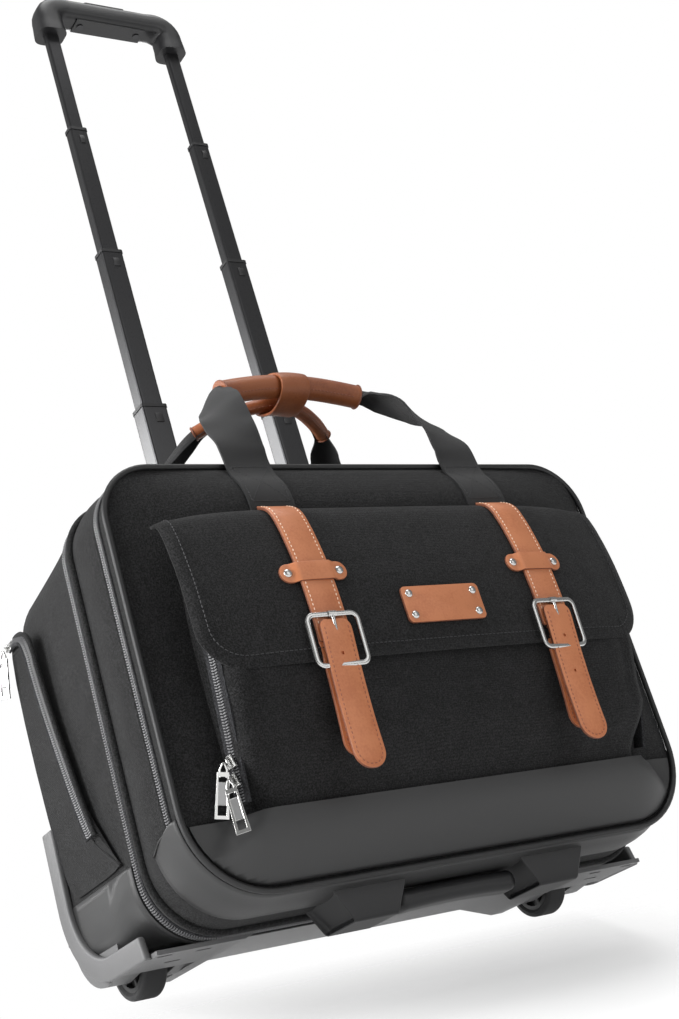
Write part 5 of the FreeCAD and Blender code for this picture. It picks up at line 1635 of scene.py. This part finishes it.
def side_pocket(name, sign):
    bm = bmesh.new()
    rim = [bm.verts.new((HALF - 0.0008, y, z)) for y, z in SIDE_OUTLINE]
    face = bm.faces.new(rim)
    if face.normal.x < 0:
        face.normal_flip()
    for thickness, depth in ((0.0014, 0.0030), (0.0040, 0.0036), (0.0070, 0.0026), (0.0090, 0.0012),
                             (0.0090, 0.0005)):
        bmesh.ops.inset_region(bm, faces=[face], thickness=thickness, depth=depth, use_even_offset=True)
    for v in bm.verts:
        low_seam = ease((v.co.z - 0.0768) / 0.045)
        v.co.x = HALF + 0.0016 + (v.co.x - HALF - 0.0016) * low_seam
    if sign < 0:
        bm = mirrored(bm)
    item = new_piece("side_pocket_" + name, bm, "case", CANVAS, ["side_pockets"], 70, (sign, 0, 0))
    subdivide(item, 2)
    line = smooth_line([Vector((sign * (x + 0.0012), y, z)) for x, y, z in
                        ((0.2258, 0.1060, 0.2735), (0.2262, 0.0930, 0.2738), (0.2260, 0.0835, 0.2700),
                         (0.2258, 0.0785, 0.2600), (0.2258, 0.0758, 0.2420), (0.2262, 0.0702, 0.2120),
                         (0.2262, 0.0622, 0.1740), (0.2258, 0.0524, 0.1310), (0.2252, 0.0455, 0.1050))],
                       80)

    def out(place):
        return Vector((sign * 1.0, -0.42, 0.10 if place.z < 0.25 else 0.5))

    new_piece(f"side_zipper_{name}_teeth", coil(line, out, False, 0.0019, 0.0014), "case", TEETH,
              [], 30)
    tape = repeated(block((0.0040, 0.0100, 0.0014)), frames_along(walk(line, 0.0036, False), out))
    new_piece(f"side_zipper_{name}_tape", tape, "case", TAPE, [], 30)
    welt_line = [p + Vector((sign * -0.0008, -0.0052, 0.0018 if p.z > 0.262 else 0)) for p in line]
    welt = tube_along("welt", welt_line, 0.0019, False, 3)
    new_piece(f"side_zipper_{name}_welt", welt, "case", CANVAS, [], 60)
    inner = [(0.1060, 0.2665), (0.0935, 0.2668), (0.0860, 0.2625), (0.0835, 0.2540), (0.0812, 0.2400),
             (0.0755, 0.2100), (0.0675, 0.1720),
             (0.0580, 0.1290), (0.0500, 0.1040), (0.0330, 0.0880), (0.0195, 0.0772)]
    edge = smooth_line([Vector((sign * (0.2262 if z > 0.11 else 0.2218), y, z)) for y, z in inner], 70)
    new_piece(f"side_zipper_{name}_fold", tube_along("fold", edge, 0.0014, False, 3), "case", CANVAS,
              [], 60)


side_pocket("left", -1)
side_pocket("right", 1)

# --- Zipper sliders and pulls ---------------------------------------------------------------------
# Cast and plated sliders run on the coils; each carries a flat pull with a window at its end on
# a small bail.


BRUSHED = grain(basic("brushed_plate", (0.26, 0.26, 0.26), 0.45, Metallic=1.0), 900, 0.15, 0.0001, 0.38, 0.55)


def slider_body(long, wide, tall):
    """A slider lying on z = 0 with its nose towards +y: waisted body and bridge."""
    bm = block((wide, long, tall * 0.45))
    slice_up(bm, "y", -long / 2, long / 2, 6)
    for v in bm.verts:
        t = v.co.y / long * 2
        v.co.x *= 0.86 + 0.14 * t * t if t < 0 else 0.86 - 0.22 * t
    shift(bm, (0, 0, tall * 0.225))
    bridge = tube_along("bridge", [Vector((0, -long * 0.30, tall * 0.45)),
                                   Vector((0, -long * 0.24, tall * 0.85)),
                                   Vector((0, 0, tall * 1.0)),
                                   Vector((0, long * 0.24, tall * 0.85)),
                                   Vector((0, long * 0.30, tall * 0.45))], 0.0009, False, 3)
    merge_into(bm, bridge)
    return bm


def pull_tag(long, wide, thick):
    """A pull hanging from its bail at the origin towards -y: frame, window and recessed plate."""
    bm = rectangle(wide, long - 0.005)
    shift(bm, (0, -0.005 - (long - 0.005) / 2, 0))
    for v in bm.verts:
        if v.co.y > -long / 2:
            v.co.x *= 0.80
    slots = [-0.0080, -0.0115, -long + 0.0088, -long + 0.0025]
    for y in slots:
        cut(bm, (0, y, 0), (0, 1, 0))
    for x in (-wide * 0.29, wide * 0.29):
        cut(bm, (x, 0, 0), (1, 0, 0))
    windows = [f for f in bm.faces if abs(f.calc_center_median().x) < wide * 0.2
               and (slots[1] < f.calc_center_median().y < slots[0]
                    or slots[3] < f.calc_center_median().y < slots[2])]
    bmesh.ops.delete(bm, geom=windows, context="FACES")
    bmesh.ops.solidify(bm, geom=bm.faces[:], thickness=thick)
    bmesh.ops.recalc_face_normals(bm, faces=bm.faces)
    plate = [f for f in bm.faces if abs(f.normal.z) > 0.9 and abs(f.calc_center_median().x) < wide * 0.2
             and slots[2] < f.calc_center_median().y < slots[1]]
    for f in plate:
        bmesh.ops.inset_region(bm, faces=[f], thickness=0.0004, depth=-0.00035)
        f.material_index = 1
    bail = tube_along("bail", [Vector((-wide * 0.22, -0.0085, 0)),
                               Vector((-wide * 0.24, -0.0035, 0)),
                               Vector((-0.0006, 0.0005, 0)), Vector((0.0006, 0.0005, 0)),
                               Vector((wide * 0.24, -0.0035, 0)),
                               Vector((wide * 0.22, -0.0085, 0))], 0.0008, False, 3)
    z_mid = sum(v.co.z for v in bm.verts) / len(bm.verts)
    shift(bm, (0, 0, -z_mid))
    merge_into(bm, bail)
    return bm


def stand(bm, origin, up, out):
    """Place a pattern so that its y runs up and its z faces outward."""
    y = Vector(up).normalized()
    x = y.cross(Vector(out)).normalized()
    axes = Matrix((x, y, x.cross(y))).transposed().to_4x4()
    bmesh.ops.transform(bm, matrix=Matrix.Translation(origin) @ axes, verts=bm.verts)
    return bm


def slider_piece(node, body, origin, up, out, long=0.0095, wide=0.0080, tall=0.0042):
    bm = stand(slider_body(long, wide, tall), origin, up, out)
    item = new_piece(node + "_body", bm, body, NICKEL, [node], 40)
    add_modifier(item, "BEVEL", width=0.0005, segments=2, limit_method="ANGLE", angle_limit=math.radians(40))


def pull_piece(node, body, origin, up, out, long=0.035, wide=0.0098):
    bm = stand(pull_tag(long, wide, 0.0016), origin, up, out)
    item = new_piece(node + "_tag", bm, body, NICKEL, [node], 40)
    item.data.materials.append(BRUSHED)
    add_modifier(item, "BEVEL", width=0.0003, segments=2, limit_method="ANGLE", angle_limit=math.radians(40))


slider_piece("gusset_slider_upper", "gusset_slider_one", (-0.1835, -0.0868, 0.1085), (0, 0.2, 1),
             (-1, -0.25, 0))
slider_piece("gusset_slider_lower", "gusset_slider_two", (-0.1825, -0.0840, 0.0965), (0, 0.2, 1),
             (-1, -0.25, 0))
pull_piece("gusset_pull_upper", "gusset_pull_one", (-0.1905, -0.0880, 0.1075), (0.08, -0.40, 0.91),
           (-0.60, -0.78, -0.1))
pull_piece("gusset_pull_lower", "gusset_pull_two", (-0.1898, -0.0875, 0.0960), (-0.02, 0.04, 1),
           (-0.60, -0.78, -0.1))
for name, sign in (("left", -1), ("right", 1)):
    slider_piece("side_slider_" + name, name + "_pocket_slider", (sign * 0.2275, 0.1050, 0.2735), (0, 1, 0),
                 (sign, 0, 0.3))
    pull_piece("side_pull_" + name, name + "_pocket_pull", (sign * 0.2345, 0.1050, 0.2700),
               (-sign * 0.06, -0.25, 1), (sign, -0.5, 0))
for node, body in (("front_slider", "lid_slider"), ("main_slider", "main_zip_slider")):
    low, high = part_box(node)
    place = ((low.x + high.x) / 2 - 0.0010, (low.y + high.y) / 2, (low.z + high.z) / 2)
    slider_piece(node, body, place, (0, 0, 1), (1, 0, 0))
